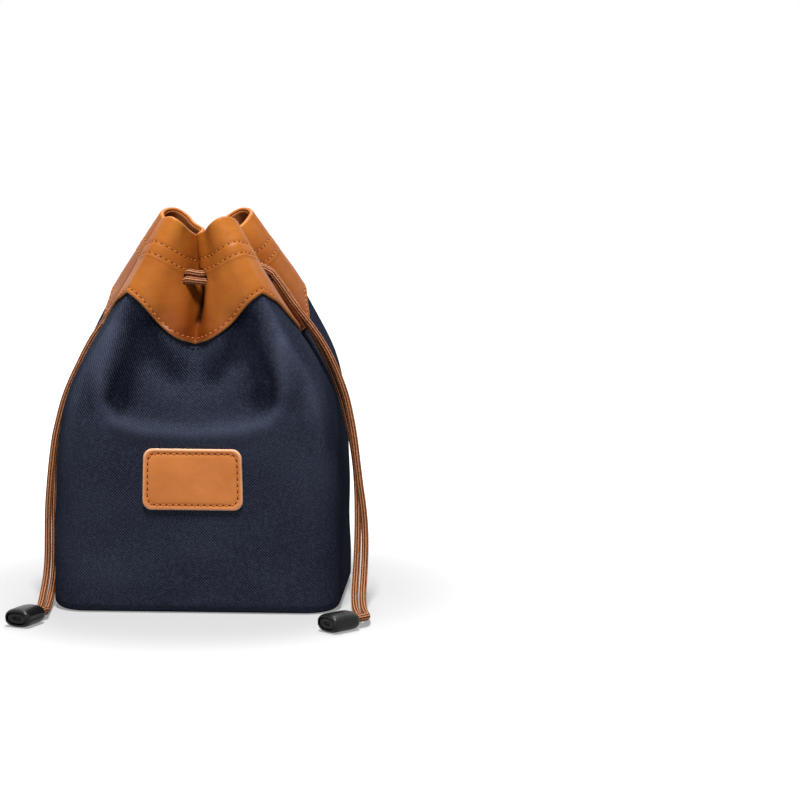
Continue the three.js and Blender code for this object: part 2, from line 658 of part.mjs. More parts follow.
function endShell() {
  const [halfWidth, halfHeight] = [SHELL_WIDTH / 2, SHELL_THICKNESS / 2];
  const entry = (x) => oval(ENTRY_HALF_WIDTH, ENTRY_HALF_HEIGHT, x);
  const cavity = (x) => oval(halfWidth - SHELL_WALL, halfHeight - SHELL_WALL, x);
  const lip = SHELL_ROUNDING;
  return skin([
    entry(0), oval(halfWidth - lip, halfHeight - lip, 0),
    oval(halfWidth - SHELL_SOFTNESS, halfHeight - SHELL_SOFTNESS, lip),
    oval(halfWidth, halfHeight, 2 * lip), oval(halfWidth, halfHeight, SHELL_LENGTH - lip),
    oval(halfWidth - lip / 2, halfHeight - lip / 2, SHELL_LENGTH), cavity(SHELL_LENGTH),
    cavity(SHELL_ENTRY_WALL), entry(SHELL_ENTRY_WALL),
  ]);
}

function endPlug() {
  const halfWidth = SHELL_WIDTH / 2 - SHELL_WALL - PLUG_CLEARANCE;
  const halfHeight = SHELL_THICKNESS / 2 - SHELL_WALL - PLUG_CLEARANCE;
  const face = SHELL_LENGTH - PLUG_RECESS;
  const stem = (x) => oval(halfWidth - PLUG_SHOULDER, halfHeight - PLUG_SHOULDER, x);
  const body = closeLoops([
    stem(face - PLUG_HEAD - PLUG_STEM), stem(face - PLUG_HEAD),
    oval(halfWidth, halfHeight, face - PLUG_HEAD), oval(halfWidth, halfHeight, face),
  ]);
  const slot = new THREE.BoxGeometry(PLUG_SLOT_DEPTH * 2, PLUG_SLOT_WIDTH, PLUG_SLOT_HEIGHT);
  slot.translate(face, 0, 0);
  return cutAway(body, [slot]);
}

// The melted and knotted ends of a pair of tails, held behind the shell's entry
function endKnot() {
  const halfWidth = SHELL_WIDTH / 2 - SHELL_WALL - PLUG_CLEARANCE;
  const halfHeight = SHELL_THICKNESS / 2 - SHELL_WALL - PLUG_CLEARANCE;
  const start = SHELL_ENTRY_WALL + JOIN_GAP;
  const stop = SHELL_LENGTH - PLUG_RECESS - PLUG_HEAD - PLUG_STEM - JOIN_GAP;
  const round = (stop - start) / 4;
  return closeLoops([
    oval(halfWidth - round, halfHeight - round / 2, start), oval(halfWidth, halfHeight, start + round),
    oval(halfWidth, halfHeight, stop - round), oval(halfWidth - round, halfHeight - round / 2, stop),
  ]);
}

const pouch = new THREE.Group();
function add(name, geometry, finish, parent = pouch) {
  const mesh = new THREE.Mesh(geometry, finish);
  mesh.name = name;
  parent.add(mesh);
}

add("canvas_body", canvasBody(), CANVAS);
add("canvas_base", basePlate(BOTTOM_RADIUS + LAYER_GAP, 0, CANVAS_THICKNESS), CANVAS);
add("leather_collar", leatherCollar(), LEATHER);
add("collar_facing", collarFacing(), FACING);
add("lining", liningBag(), LINING);
add("label_patch", labelPatch(), LABEL);

["front", "right", "back", "left"].forEach((name, wall) => {
  add(`foam_${name}`, foamPad(wall, wall % 2 === 0 ? WIDE_FOAM : DEEP_FOAM), FOAM);
});
add("foam_base", basePlate(BASE_FOAM_INSET, CANVAS_THICKNESS + LAYER_GAP, FOAM_THICKNESS), FOAM);

for (const [name, place] of Object.entries(SIDE_SLOTS)) {
  add(`eyelet_${name}`, eyelet(place), MOULDED);
}

const SIDES = {
  left: { side: -1, level: LEVEL_OF_LEFT_CORD, route: LEFT_TAIL, end: LEFT_END },
  right: { side: 1, level: LEVEL_OF_RIGHT_CORD, route: RIGHT_TAIL, end: RIGHT_END },
};
for (const [name, { side, level, route, end }] of Object.entries(SIDES)) {
  const [first, second] = route.map(([x, y, z]) => new THREE.Vector3(Math.abs(x), y, z));
  const fall = second.clone().sub(first).normalize();
  const mouth = first.clone().addScaledVector(fall, -CORD_JOIN_GAP);
  add(`drawcord_${name}`, heldCord(side, level, mouth), CORD);
  add(`${name}_tail_front`, cordTube(tailPoints(route, end, 1), TAIL_STEPS), CORD);
  add(`${name}_tail_rear`, cordTube(tailPoints(route, end, -1), TAIL_STEPS), CORD);
  const cordEnd = new THREE.Group();
  cordEnd.position.set(end.entry[0], end.entry[1], SHELL_AXIS_HEIGHT);
  cordEnd.rotation.z = THREE.MathUtils.degToRad(end.heading);
  pouch.add(cordEnd);
  add(`${name}_end_shell`, endShell(), MOULDED, cordEnd);
  add(`${name}_end_plug`, endPlug(), MOULDED, cordEnd);
  add(`${name}_end_knot`, endKnot(), CORD, cordEnd);
}

export default pouch;
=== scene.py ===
"""A padded drawstring camera pouch: canvas, gathered leather collar, drawcords and cord ends.

Lengths are metres. X is the pouch's right, Y points away from the label and Z is up.
"""
import math

import bpy
import numpy as np
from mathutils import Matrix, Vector


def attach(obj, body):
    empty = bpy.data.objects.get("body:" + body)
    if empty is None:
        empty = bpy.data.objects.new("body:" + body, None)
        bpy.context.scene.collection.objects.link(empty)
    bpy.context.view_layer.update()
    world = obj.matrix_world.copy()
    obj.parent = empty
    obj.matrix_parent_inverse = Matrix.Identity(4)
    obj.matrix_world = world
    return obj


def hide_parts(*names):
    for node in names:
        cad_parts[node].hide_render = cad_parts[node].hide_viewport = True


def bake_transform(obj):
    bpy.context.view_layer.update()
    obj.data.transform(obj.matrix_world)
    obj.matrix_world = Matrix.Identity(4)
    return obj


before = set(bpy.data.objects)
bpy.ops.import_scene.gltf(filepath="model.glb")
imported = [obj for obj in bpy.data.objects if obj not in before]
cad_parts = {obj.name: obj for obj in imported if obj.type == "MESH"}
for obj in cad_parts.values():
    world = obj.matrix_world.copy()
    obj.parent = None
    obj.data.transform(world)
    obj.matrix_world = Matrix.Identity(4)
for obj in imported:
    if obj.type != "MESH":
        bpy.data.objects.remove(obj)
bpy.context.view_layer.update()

# Sizes of the bag, as the frame has them
BAG_WIDTH = 0.150
BAG_DEPTH = 0.108
BAG_HEIGHT = 0.203
CORNER_RADIUS = 0.018
BOTTOM_RADIUS = 0.005
RIM_DROP = 0.015
RIM_ROUNDING = 0.003
RIM_TOP = BAG_HEIGHT + RIM_ROUNDING
LOBE_HALF_WIDTH = 0.006
LOBE_TIP = (0.0107, 0.018)
NECK_START = 0.117
NECK_SOFTNESS = 0.026
MOUTH_TAPER = 7.3
PLEAT_DEPTH = 0.013
PLEAT_WIDTH = 0.007
PLEAT_START = 0.100
COLLAR_EDGE_HIGH = 0.164
COLLAR_EDGE_LOW = 0.138
COLLAR_LAP = 0.006

# Layers, as distances out from the canvas's outer face
CANVAS_INNER = -0.0012
LEATHER_INNER = 0.0005
LEATHER_OUTER = 0.0019
FACING_INNER = -0.0008
LINING_OUTER_HIGH = -0.0017
LINING_OUTER_LOW = -0.0062
LINING_THICKNESS = 0.0008
FOAM_OUTER = -0.0017
FOAM_INNER = -0.0057
FOAM_BOTTOM = 0.0087
FOAM_TOP = 0.1027
EDGE_GAP = 0.001

# Drawcords and their slots
CORD_DIAMETER = 0.0038
STRAND_PITCH = 0.0042
CURVE_STEPS = 24
CORD_LEVEL = 0.172
SLOT_HALF_WIDTH = 0.0024
SLOT_HALF_HEIGHT = 0.0044
FRONT_SLOT_FROM_FOLD = 0.014
SIDE_SLOT_FROM_FOLD = 0.0103
CORD_INSIDE = 0.004
CORD_OUTSIDE = 0.0033
CORD_BOW = 0.0012
CORD_EXIT_SHARE = 0.5
CORD_TURN = 0.0012
CORD_MEETING_GAP = 0.00005
CORD_RIBS = 8
RIB_POINTS = 6
RIB_DEPTH = 0.00036
RIB_ROUNDNESS = 0.96
YARN_PITCH = 0.0019
YARN_DEPTH = 0.00006
YARN_SLANT = 0.45

# Routes of the free tails: x, y, z of each pair's middle line, and the plan angle in degrees
# from the rear strand to the front one
LEFT_TAIL = [
    (-0.0374, 0, 0.1664, 270), (-0.0406, 0, 0.1624, 270), (-0.0446, 0, 0.157, 270),
    (-0.0489, 0, 0.1508, 270), (-0.0534, 0, 0.144, 270), (-0.0578, 0, 0.1376, 268),
    (-0.0618, 0, 0.1306, 266), (-0.066, -0.0005, 0.122, 264), (-0.0702, -0.001, 0.113, 262),
    (-0.0736, -0.0015, 0.104, 260), (-0.0762, -0.0025, 0.094, 257), (-0.0782, -0.004, 0.084, 252),
    (-0.0794, -0.006, 0.072, 244), (-0.0801, -0.008, 0.060, 232), (-0.0805, -0.0105, 0.047, 220),
    (-0.0803, -0.0135, 0.034, 215), (-0.0798, -0.018, 0.023, 215), (-0.0794, -0.025, 0.0136, 205),
    (-0.0792, -0.035, 0.007, 190), (-0.0786, -0.046, 0.0036, 175), (-0.0778, -0.057, 0.0026, 166),
    (-0.0772, -0.066, 0.003, 161),
]
RIGHT_TAIL = [
    (0.0374, 0, 0.1704, -90), (0.041, 0, 0.1656, -90), (0.0458, 0, 0.1586, -90),
    (0.0509, 0, 0.1514, -80), (0.0564, 0, 0.1436, -65), (0.0616, 0, 0.1354, -55),
    (0.0662, 0, 0.1266, -50), (0.0704, 0, 0.117, -50), (0.074, -0.0005, 0.107, -52),
    (0.0768, -0.0015, 0.096, -58), (0.0792, -0.003, 0.084, -66), (0.081, -0.005, 0.072, -72),
    (0.0824, -0.0075, 0.060, -64), (0.0835, -0.010, 0.049, -44), (0.0842, -0.0135, 0.0374, -24),
    (0.0844, -0.019, 0.0256, -10), (0.0843, -0.027, 0.0148, -2), (0.0845, -0.038, 0.0072, 2),
    (0.0856, -0.050, 0.0038, 6), (0.0872, -0.060, 0.0028, 5), (0.0887, -0.0695, 0.0034, 2),
]
SHELL_ENTRY_WALL = 0.0024
JOIN_GAP = 0.0003
SIDES = {
    "left": {"side": -1, "level": 0.1699, "route": LEFT_TAIL, "entry": (-0.0794, -0.0771),
             "heading": -112, "still_above": 0.167},
    "right": {"side": 1, "level": 0.1741, "route": RIGHT_TAIL, "entry": (0.0836, -0.083),
              "heading": -133, "still_above": 0.038},
}

# Cord ends
SHELL_HALF_WIDTH = 0.0075
SHELL_HALF_HEIGHT = 0.00475
SHELL_LENGTH = 0.017
SHELL_WALL = 0.0016
ENTRY_HALF_WIDTH = 0.0045
ENTRY_HALF_HEIGHT = 0.0024
PLUG_HALF_WIDTH = 0.0056
PLUG_HALF_HEIGHT = 0.00285
PLUG_RECESS = 0.0006
PLUG_HEAD = 0.002
PLUG_STEM = 0.004

LABEL_WIDTH = 0.053
LABEL_HEIGHT = 0.032
LABEL_CORNER = 0.005
LABEL_MIDDLE = 0.0705

# The photograph's camera
CAMERA_PLACE = (0.19987, -1.66610, 0.35703)
CAMERA_TILT = math.radians(81.4)
CAMERA_TURN = math.radians(3.3)
CAMERA_LENS = 144
CAMERA_SENSOR = 36
CAMERA_REACH = 20

# Mesh density
COLUMNS = 960
WALL_STEP = 0.0005
CORD_STEP = 0.0004

scene = bpy.context.scene


def smooth(value):
    limited = np.clip(value, 0, 1)
    return limited * limited * (3 - 2 * limited)


def bell(value):
    return np.exp(-np.square(value))


def power(value, exponent):
    return np.sign(value) * np.abs(value) ** exponent


def ramp(value, start, full):
    """0 up to the start, and then smoothly to 1."""
    return smooth((value - start) / (full - start))


def turns(count):
    """Even angles round a circle."""
    return np.arange(count) / count * 2 * math.pi


def line_lengths(points):
    """Length along a line up to each of its points."""
    return np.concatenate([[0], np.cumsum(np.linalg.norm(np.diff(points, axis=0), axis=1))])


def even_steps(pitch, line, *others):
    """A line, and tables along it, read in even steps as near to the pitch as fits its length."""
    lengths = line_lengths(line)
    marks = np.linspace(0, lengths[-1], max(2, int(round(lengths[-1] / pitch))) + 1)
    tables = [line, *others]
    return [np.stack([np.interp(marks, lengths, column) for column in table.T], -1) for table in tables]


def add_object(name, data):
    made = bpy.data.objects.new(name, data)
    scene.collection.objects.link(made)
    return made


def new_mesh(name, points, faces):
    mesh = bpy.data.meshes.new(name)
    mesh.from_pydata(np.asarray(points).tolist(), [], faces)
    mesh.update()
    return mesh


# Camera


def make_camera():
    data = bpy.data.cameras.new("camera")
    data.lens = CAMERA_LENS
    data.sensor_width = CAMERA_SENSOR
    data.clip_end = CAMERA_REACH
    camera = add_object("camera", data)
    camera.location = CAMERA_PLACE
    camera.rotation_euler = (CAMERA_TILT, 0, CAMERA_TURN)
    scene.camera = camera


make_camera()

# Materials


class Nodes:
    """A node tree under construction. Its methods add nodes and give back their outputs."""

    def __init__(self, tree):
        self.tree = tree

    def node(self, kind, inputs=(), **options):
        node = self.tree.nodes.new(f"ShaderNode{kind}")
        for key, value in options.items():
            setattr(node, key, value)
        for key, value in dict(inputs).items():
            if isinstance(value, bpy.types.NodeSocket):
                self.tree.links.new(value, node.inputs[key])
            else:
                node.inputs[key].default_value = value
        return node

    def add(self, kind, inputs=(), output=0, **options):
        return self.node(kind, inputs, **options).outputs[output]

    def math(self, operation, *values):
        return self.add("Math", enumerate(values), operation=operation)

    def weighted(self, first, *others):
        """The sum of values, each times its weight."""
        total = self.math("MULTIPLY", *first)
        for value, weight in others:
            total = self.math("MULTIPLY_ADD", value, weight, total)
        return total

    def position(self):
        return self.add("TexCoord", output="Object")

    def uv(self):
        return self.node("SeparateXYZ", {0: self.add("TexCoord", output="UV")}).outputs[:2]

    def noise(self, scale, detail):
        return self.add("TexNoise", {"Vector": self.position(), "Scale": scale, "Detail": detail}, "Fac")

    def spots(self, scale, detail, start, stop):
        """Noise that is 0 under one of its levels and 1 over another."""
        return self.between(self.noise(scale, detail), 0.0, 1.0, start, stop)

    def cells(self, scale):
        return self.add("TexVoronoi", {"Vector": self.position(), "Scale": scale}, "Distance")

    def between(self, value, low, high, start=0.0, stop=1.0, **options):
        """Carry a value over from start and stop to low and high."""
        ends = {"Value": value, "From Min": start, "From Max": stop, "To Min": low, "To Max": high}
        return self.add("MapRange", ends, "Result", **options)

    def mix(self, factor, first, second):
        return self.add("Mix", {0: factor, 6: first, 7: second}, 2, data_type="RGBA")

    def attribute(self, name):
        return self.add("Attribute", output="Fac", attribute_name=name)

    def wave(self, value, period, phase=0.0):
        """A cosine from 0 to 1 with crests at whole periods."""
        angle = self.math("MULTIPLY_ADD", value, 2 * math.pi / period, phase)
        return self.math("MULTIPLY_ADD", self.math("COSINE", angle), 0.5, 0.5)

    def bump(self, height, distance, strength, below=None):
        inputs = {"Height": height, "Distance": distance, "Strength": strength}
        if below is not None:
            inputs["Normal"] = below
        return self.add("Bump", inputs, "Normal")


class Shader(Nodes):
    """The nodes of a new material, in front of its Principled surface."""

    def __init__(self, name, **settings):
        self.material = bpy.data.materials.new(name)
        self.material.use_nodes = True
        super().__init__(self.material.node_tree)
        self.surface = self.tree.nodes["Principled BSDF"]
        for key, value in settings.items():
            self.surface.inputs[key.replace("_", " ")].default_value = value

    def link(self, **sockets):
        for key, value in sockets.items():
            self.tree.links.new(value, self.surface.inputs[key.replace("_", " ")])
        return self.material


TWILL_PITCH = 0.00150
TWILL_CROSS_PITCH = 0.00105
# Share of the cloth's tone that is painted light and shade from its relief: pale on raised folds, dark in
# hollows
PAINTED_RELIEF_SHADE_WEIGHT = 0.40


def canvas_material(name, dark, light):
    """Twill: diagonal lines of short floats, on cloth painted paler on its raised folds and darker in its
    hollows: painted light and shade of the folds.
    """
    shader = Shader(name, Specular_IOR_Level=0.0)
    u, v = shader.uv()
    line = shader.wave(shader.math("ADD", u, v), TWILL_PITCH)
    cross = shader.wave(shader.math("SUBTRACT", u, v), TWILL_CROSS_PITCH)
    # The floats' height sets their tone: the grooves between them get painted shade
    float_height = shader.math("MULTIPLY", line, shader.math("MULTIPLY_ADD", cross, 0.45, 0.55))
    speck = shader.spots(900, 3, 0.42, 0.68)
    patch = shader.spots(28, 3, 0.3, 0.7)
    # Painted light and shade: the wall's relief, read from the mesh
    relief = shader.attribute("shade")
    tone = shader.weighted((float_height, 0.62), (speck, 0.26), (patch, 0.12), (relief, PAINTED_RELIEF_SHADE_WEIGHT))
    rough = shader.between(float_height, 0.8, 0.58)
    normal = shader.bump(float_height, 0.00016, 0.9)
    return shader.link(Base_Color=shader.mix(tone, dark, light), Roughness=rough, Normal=normal)


# Colour of the painted shadow in the front pleat's narrow gap, under the drawcords
CREVICE_SHADOW_COLOUR = (0.016, 0.0035, 0.0010, 1)


def leather_material(name, dark, light, edge, fold=None, roughness=0.36):
    """Smooth leather: fine pebbled grain and soft mottling, with painted shade in its folds, a painted
    shadow in the front pleat's narrow gap and a paler cut edge."""
    shader = Shader(name, Specular_IOR_Level=0.13)
    fine = shader.noise(700, 3)
    colour = shader.mix(shader.spots(45, 4, 0.3, 0.72), dark, light)
    colour = shader.mix(shader.between(fine, 0.0, 0.22, 0.55, 0.75), colour, dark)
    # Tints read from the mesh: painted shade in the folds, painted shadow in the pleat's gap, and the paler
    # cut edge
    for tone, tint in (("fold", fold or dark), ("crevice", CREVICE_SHADOW_COLOUR), ("shade", edge)):
        colour = shader.mix(shader.attribute(tone), colour, tint)
    pores = shader.weighted((shader.cells(1100), 0.7), (fine, 0.5))
    creases = shader.bump(shader.noise(130, 3), 0.0011, 0.32)
    normal = shader.bump(pores, 0.00012, 0.35, below=creases)
    rough = shader.between(shader.noise(60, 3), roughness - 0.06, roughness + 0.1, 0.3, 0.7)
    return shader.link(Base_Color=colour, Roughness=rough, Normal=normal)


def cord_material():
    """Round braid: ribs along the cord, each a row of slanting yarns, painted paler on their crests and dark
    in the grooves: painted highlight and painted shade.
    """
    shader = Shader("braided_cord", Specular_IOR_Level=0.08)
    u, v = shader.uv()
    rib = shader.wave(u, 1.0 / CORD_RIBS, math.pi)
    yarn = shader.wave(shader.math("MULTIPLY_ADD", u, CORD_DIAMETER, v), YARN_PITCH / 2)
    height = shader.math("MULTIPLY", rib, shader.math("MULTIPLY_ADD", yarn, 0.4, 0.6))
    tone = shader.weighted((height, 0.75), (shader.spots(1500, 2, 0.35, 0.7), 0.25))
    tone = shader.between(tone, 0.0, 1.0, 0.18, 0.82)
    # Dark is the grooves' painted shade and light the crests' painted highlight; the flecks are the yarns'
    # own tone
    colour = shader.mix(tone, (0.042, 0.011, 0.004, 1), (0.60, 0.245, 0.112, 1))
    rough = shader.between(tone, 0.75, 0.45)
    return shader.link(Base_Color=colour, Roughness=rough, Normal=shader.bump(yarn, 0.0002, 0.5))


def moulded_material():
    """Black moulding: a satin skin with a fine spark texture."""
    shader = Shader("black_moulding", Specular_IOR_Level=0.22)
    haze = shader.spots(120, 3, 0.3, 0.7)
    colour = shader.mix(haze, (0.003, 0.003, 0.0035, 1), (0.008, 0.008, 0.0085, 1))
    grain = shader.bump(shader.noise(2600, 2), 0.00005, 0.4)
    return shader.link(Base_Color=colour, Roughness=shader.between(haze, 0.24, 0.38), Normal=grain)


def thread_material(name, dark, light):
    """Twisted sewing thread."""
    shader = Shader(name, Specular_IOR_Level=0.12, Roughness=0.7)
    twist = shader.noise(2400, 1)
    colour = shader.mix(shader.between(twist, 0.0, 1.0, 0.35, 0.65), dark, light)
    return shader.link(Base_Color=colour, Normal=shader.bump(twist, 0.0001, 0.5))


def cloth_material(name, dark, light, pitch):
    """A matt plain weave or fine foam skin, by its pitch. Its tone is painted shade between the weave's
    crests, mixed with random tone.
    """
    shader = Shader(name, Specular_IOR_Level=0.3)
    u, v = shader.uv()
    weave = shader.math("MULTIPLY", shader.wave(u, pitch), shader.wave(v, pitch))
    # Painted shade between the weave's crests, and random tone from noise
    tone = shader.weighted((weave, 0.5), (shader.noise(600, 3), 0.5))
    rough = shader.between(tone, 0.95, 0.85)
    normal = shader.bump(weave, 0.0001, 0.6)
    return shader.link(Base_Color=shader.mix(tone, dark, light), Roughness=rough, Normal=normal)


CANVAS = canvas_material("navy_canvas", (0.0050, 0.0062, 0.0105, 1), (0.057, 0.067, 0.104, 1))
# The fold tint is painted shade, deepest low in the collar's pleats
LEATHER = leather_material("tan_leather", (0.335, 0.092, 0.0115, 1), (0.47, 0.155, 0.023, 1),
                           (0.56, 0.21, 0.060, 1), fold=(0.16, 0.031, 0.003, 1))
LABEL_LEATHER = leather_material("label_leather", (0.57, 0.180, 0.042, 1), (0.68, 0.230, 0.061, 1),
                                 (0.88, 0.53, 0.34, 1), roughness=0.5)
FACING = leather_material("facing_leather", (0.22, 0.065, 0.016, 1), (0.36, 0.115, 0.03, 1),
                          (0.45, 0.19, 0.07, 1), roughness=0.6)
LINING = cloth_material("lining_cloth", (0.008, 0.009, 0.012, 1), (0.03, 0.033, 0.042, 1), 0.0006)
FOAM = cloth_material("foam_sheet", (0.012, 0.012, 0.013, 1), (0.03, 0.03, 0.032, 1), 0.002)
CORD = cord_material()
MOULDED = moulded_material()
TAN_THREAD = thread_material("tan_thread", (0.40, 0.11, 0.020, 1), (0.60, 0.23, 0.065, 1))
NAVY_THREAD = thread_material("navy_thread", (0.002, 0.003, 0.008, 1), (0.012, 0.017, 0.035, 1))
# Needle holes are dark ovals on the leather: a painted shadow for the depth of each hole
STITCH_HOLE_SHADOW = thread_material("painted_stitch_hole_shadow", (0.070, 0.010, 0.002, 1), (0.115, 0.019, 0.004, 1))

# Meshes


def finish_piece(name, mesh, material, body, stands_for=None):
    """Make an object of a mesh, hide the model's part that it stands for and attach it to its body. The
    triangles of a cap stay flat.
    """
    piece = add_object(name, mesh)
    mesh.materials.append(material)
    mesh.polygons.foreach_set("use_smooth", [polygon.loop_total > 3 for polygon in mesh.polygons])
    if stands_for:
        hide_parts(stands_for)
    if body:
        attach(piece, body)
    return piece


def quad_corners(table, bands):
    """A table over rings of points, read at the four corners of each quad of the first bands."""
    above = np.roll(table, -1, 0)
    return np.stack([table, np.roll(table, -1, 1), np.roll(above, -1, 1), above], -1)[:bands]


def lattice_mesh(name, rows, across, along, loop=False, caps=False, **tones):
    """A mesh over rings of points that close round. across and along are its UV in metres.
    loop joins the last ring to the first, caps closes both ends with a fan, and each tone is
    an attribute that the material reads at each point."""
    rows = np.asarray(rows, float)
    count, columns, _ = rows.shape
    bands = count if loop else count - 1
    points = rows.reshape(-1, 3)
    faces = quad_corners(np.arange(len(points)).reshape(count, columns), bands).reshape(-1, 4).tolist()
    if caps:
        first, last_ring = len(points), (count - 1) * columns
        points = np.vstack([points, rows[0].mean(0), rows[-1].mean(0)])
        for step in range(columns):
            beyond = (step + 1) % columns
            faces.append([first, beyond, step])
            faces.append([first + 1, last_ring + step, last_ring + beyond])
    mesh = new_mesh(name, points, faces)
    v = quad_corners(np.broadcast_to(np.asarray(along).reshape(count, -1), (count, columns)), bands)
    u = np.broadcast_to(np.stack([across[:-1], across[1:], across[1:], across[:-1]], -1), v.shape)
    uv = np.zeros((len(mesh.loops), 2), np.float32)
    uv[:v.size] = np.stack([u.ravel(), v.ravel()], -1)
    mesh.uv_layers.new(name="UVMap").data.foreach_set("uv", uv.ravel())
    for tone, table in tones.items():
        values = np.zeros(len(mesh.vertices), np.float32)
        values[:count * columns] = np.broadcast_to(table, (count, columns)).ravel()
        mesh.attributes.new(tone, "FLOAT", "POINT").data.foreach_set("value", values)
    return mesh


def lattice_piece(name, rows, across, along, material, slot, stands_for, body="bag", **options):
    mesh = lattice_mesh(name, rows, across, along, **options)
    return finish_piece(name, mesh, material, body, stands_for)


def tube_faces(count, sides):
    """Faces of a closed tube of rings: its quads and its two ends."""
    index = np.arange(count * sides).reshape(count, sides)
    quads = quad_corners(index, count - 1).reshape(-1, 4)
    return [*quads.tolist(), index[0, ::-1].tolist(), index[-1].tolist()]


def oval_tube(ovals, sides):
    """A closed tube as points and faces. Each of its ovals has a middle and two half axes."""
    angle = turns(sides)[:, None]
    rings = [middle + first * np.cos(angle) + second * np.sin(angle) for middle, first, second in ovals]
    return np.vstack(rings), tube_faces(len(rings), sides)


def join_meshes(name, parts):
    """One mesh from many small ones, each given as points and faces."""
    faces, first = [], 0
    for points, part_faces in parts:
        faces += [[first + index for index in face] for face in part_faces]
        first += len(points)
    return new_mesh(name, np.vstack([points for points, _ in parts]), faces)


# The wall of the bag, followed by a place from 0 to 4: 0 is the middle of the front, 1 the
# middle of the right side, 2 the back and 3 the left. A whole number and a half is a corner.


# Half a wall on the body's plan, without and with its half of the corner, for the front and back
# and for the sides
HALF_STRAIGHT = [size / 2 - CORNER_RADIUS for size in (BAG_WIDTH, BAG_DEPTH)]
HALF_WALL = [straight + CORNER_RADIUS * math.pi / 4 for straight in HALF_STRAIGHT]


def half_run(part, wall):
    """Half of a quarter of the body's plan: a straight run, and then half of the corner's arc."""
    distance = part * HALF_WALL[wall]
    angle = np.maximum(0, distance - HALF_STRAIGHT[wall]) / CORNER_RADIUS
    along = np.minimum(distance, HALF_STRAIGHT[wall]) + CORNER_RADIUS * np.sin(angle)
    return along, (BAG_DEPTH, BAG_WIDTH)[wall] / 2 - CORNER_RADIUS * (1 - np.cos(angle))


def body_quarter(share):
    x_front, y_front = half_run(np.minimum(share, 0.5) * 2, 0)
    y_side, x_side = half_run(np.minimum(1 - share, 0.5) * 2, 1)
    front = share < 0.5
    return np.where(front, x_front, x_side), np.where(front, y_front, y_side)


def mouth_quarter(share):
    """The gathered mouth: one lobe, from the front's crease round its tip to the side's."""
    reach = math.hypot(*LOBE_TIP)
    along_x, along_y = LOBE_TIP[0] / reach, LOBE_TIP[1] / reach
    front = share < 0.5
    start = LOBE_HALF_WIDTH * np.where(front, along_y / along_x, along_x / along_y)
    part = np.where(front, share, 1 - share) * 2
    distance = part * (reach - start + LOBE_HALF_WIDTH * math.pi / 2)
    angle = np.maximum(0, distance - (reach - start)) / LOBE_HALF_WIDTH
    out = np.minimum(distance, reach - start) + start + LOBE_HALF_WIDTH * np.sin(angle)
    across = LOBE_HALF_WIDTH * np.cos(angle) * np.where(front, 1, -1)
    return out * along_x - across * along_y, out * along_y + across * along_x


def neck_share(height):
    """How far the wall has drawn in at a height: 0 at the floor and 1 at the top of the rim."""
    length = RIM_TOP - NECK_START
    soft = NECK_SOFTNESS / length

    def bend(level):
        past = (level - NECK_START) / length
        return (past + np.hypot(past, soft)) / 2

    return (bend(height) - bend(0)) / (bend(RIM_TOP) - bend(0))


# Folds of the front below the collar: a raised line like a U, and a hollow inside each of its
# legs. Their points are across from the front's middle, and down from RIM_TOP.
RIDGE_LINE = [
    (-0.040, 0.043), (-0.044, 0.062), (-0.048, 0.082), (-0.047, 0.096), (-0.041, 0.106),
    (-0.027, 0.111), (-0.001, 0.113), (0.025, 0.111), (0.038, 0.107), (0.044, 0.099),
    (0.0465, 0.089), (0.0455, 0.067), (0.041, 0.044),
]
HOLLOW_LINES = [
    [(-0.040, 0.095), (-0.038, 0.087), (-0.033, 0.077), (-0.028, 0.066), (-0.020, 0.056)],
    [(0.039, 0.094), (0.038, 0.086), (0.033, 0.076), (0.027, 0.065), (0.020, 0.055)],
]
RIDGE_HEIGHT = 0.0014
RIDGE_WIDTH = 0.0065
RIDGE_FADE = (0.041, 0.071)
HOLLOW_DEPTH = 0.0032
HOLLOW_WIDTH = 0.0085
HOLLOW_LOSS = 0.65
WALL_REACH = 0.53
WALL_FADE = 0.06


def nearest_on_line(across, down, line):
    """Distance from each point to a line of straight pieces, and the share of it up to there."""
    nearest = np.full(across.shape, 9.0)
    share = np.zeros(across.shape)
    for index, ((x0, z0), (x1, z1)) in enumerate(zip(line, line[1:])):
        run_x, run_z = x1 - x0, z1 - z0
        part = ((across - x0) * run_x + (down - z0) * run_z) / (run_x ** 2 + run_z ** 2)
        part = np.clip(part, 0, 1)
        distance = np.hypot(across - x0 - part * run_x, down - z0 - part * run_z)
        closer = distance < nearest
        nearest = np.where(closer, distance, nearest)
        share = np.where(closer, (index + part) / (len(line) - 1), share)
    return nearest, share


def corner_share(place):
    """0 at the middle of a wall and 1 at a corner."""
    return 2 * np.abs(place - np.round(place))


def from_middle(place, wall):
    """Places counted from the middle of a wall, from -2 to 2."""
    return np.mod(place - wall + 2, 4) - 2


def wall_share(place, wall):
    """1 on one wall, fading out just past its corners."""
    return smooth((WALL_REACH - np.abs(from_middle(place, wall))) / WALL_FADE)


def front_fold(across, height):
    """How far the front's folds stand out."""
    down = RIM_TOP - height
    distance, _ = nearest_on_line(across, down, RIDGE_LINE)
    fold = RIDGE_HEIGHT * bell(distance / RIDGE_WIDTH) * ramp(down, *RIDGE_FADE)
    for line in HOLLOW_LINES:
        distance, share = nearest_on_line(across, down, line)
        fold = fold - HOLLOW_DEPTH * (1 - HOLLOW_LOSS * share) * bell(distance / HOLLOW_WIDTH)
    return fold


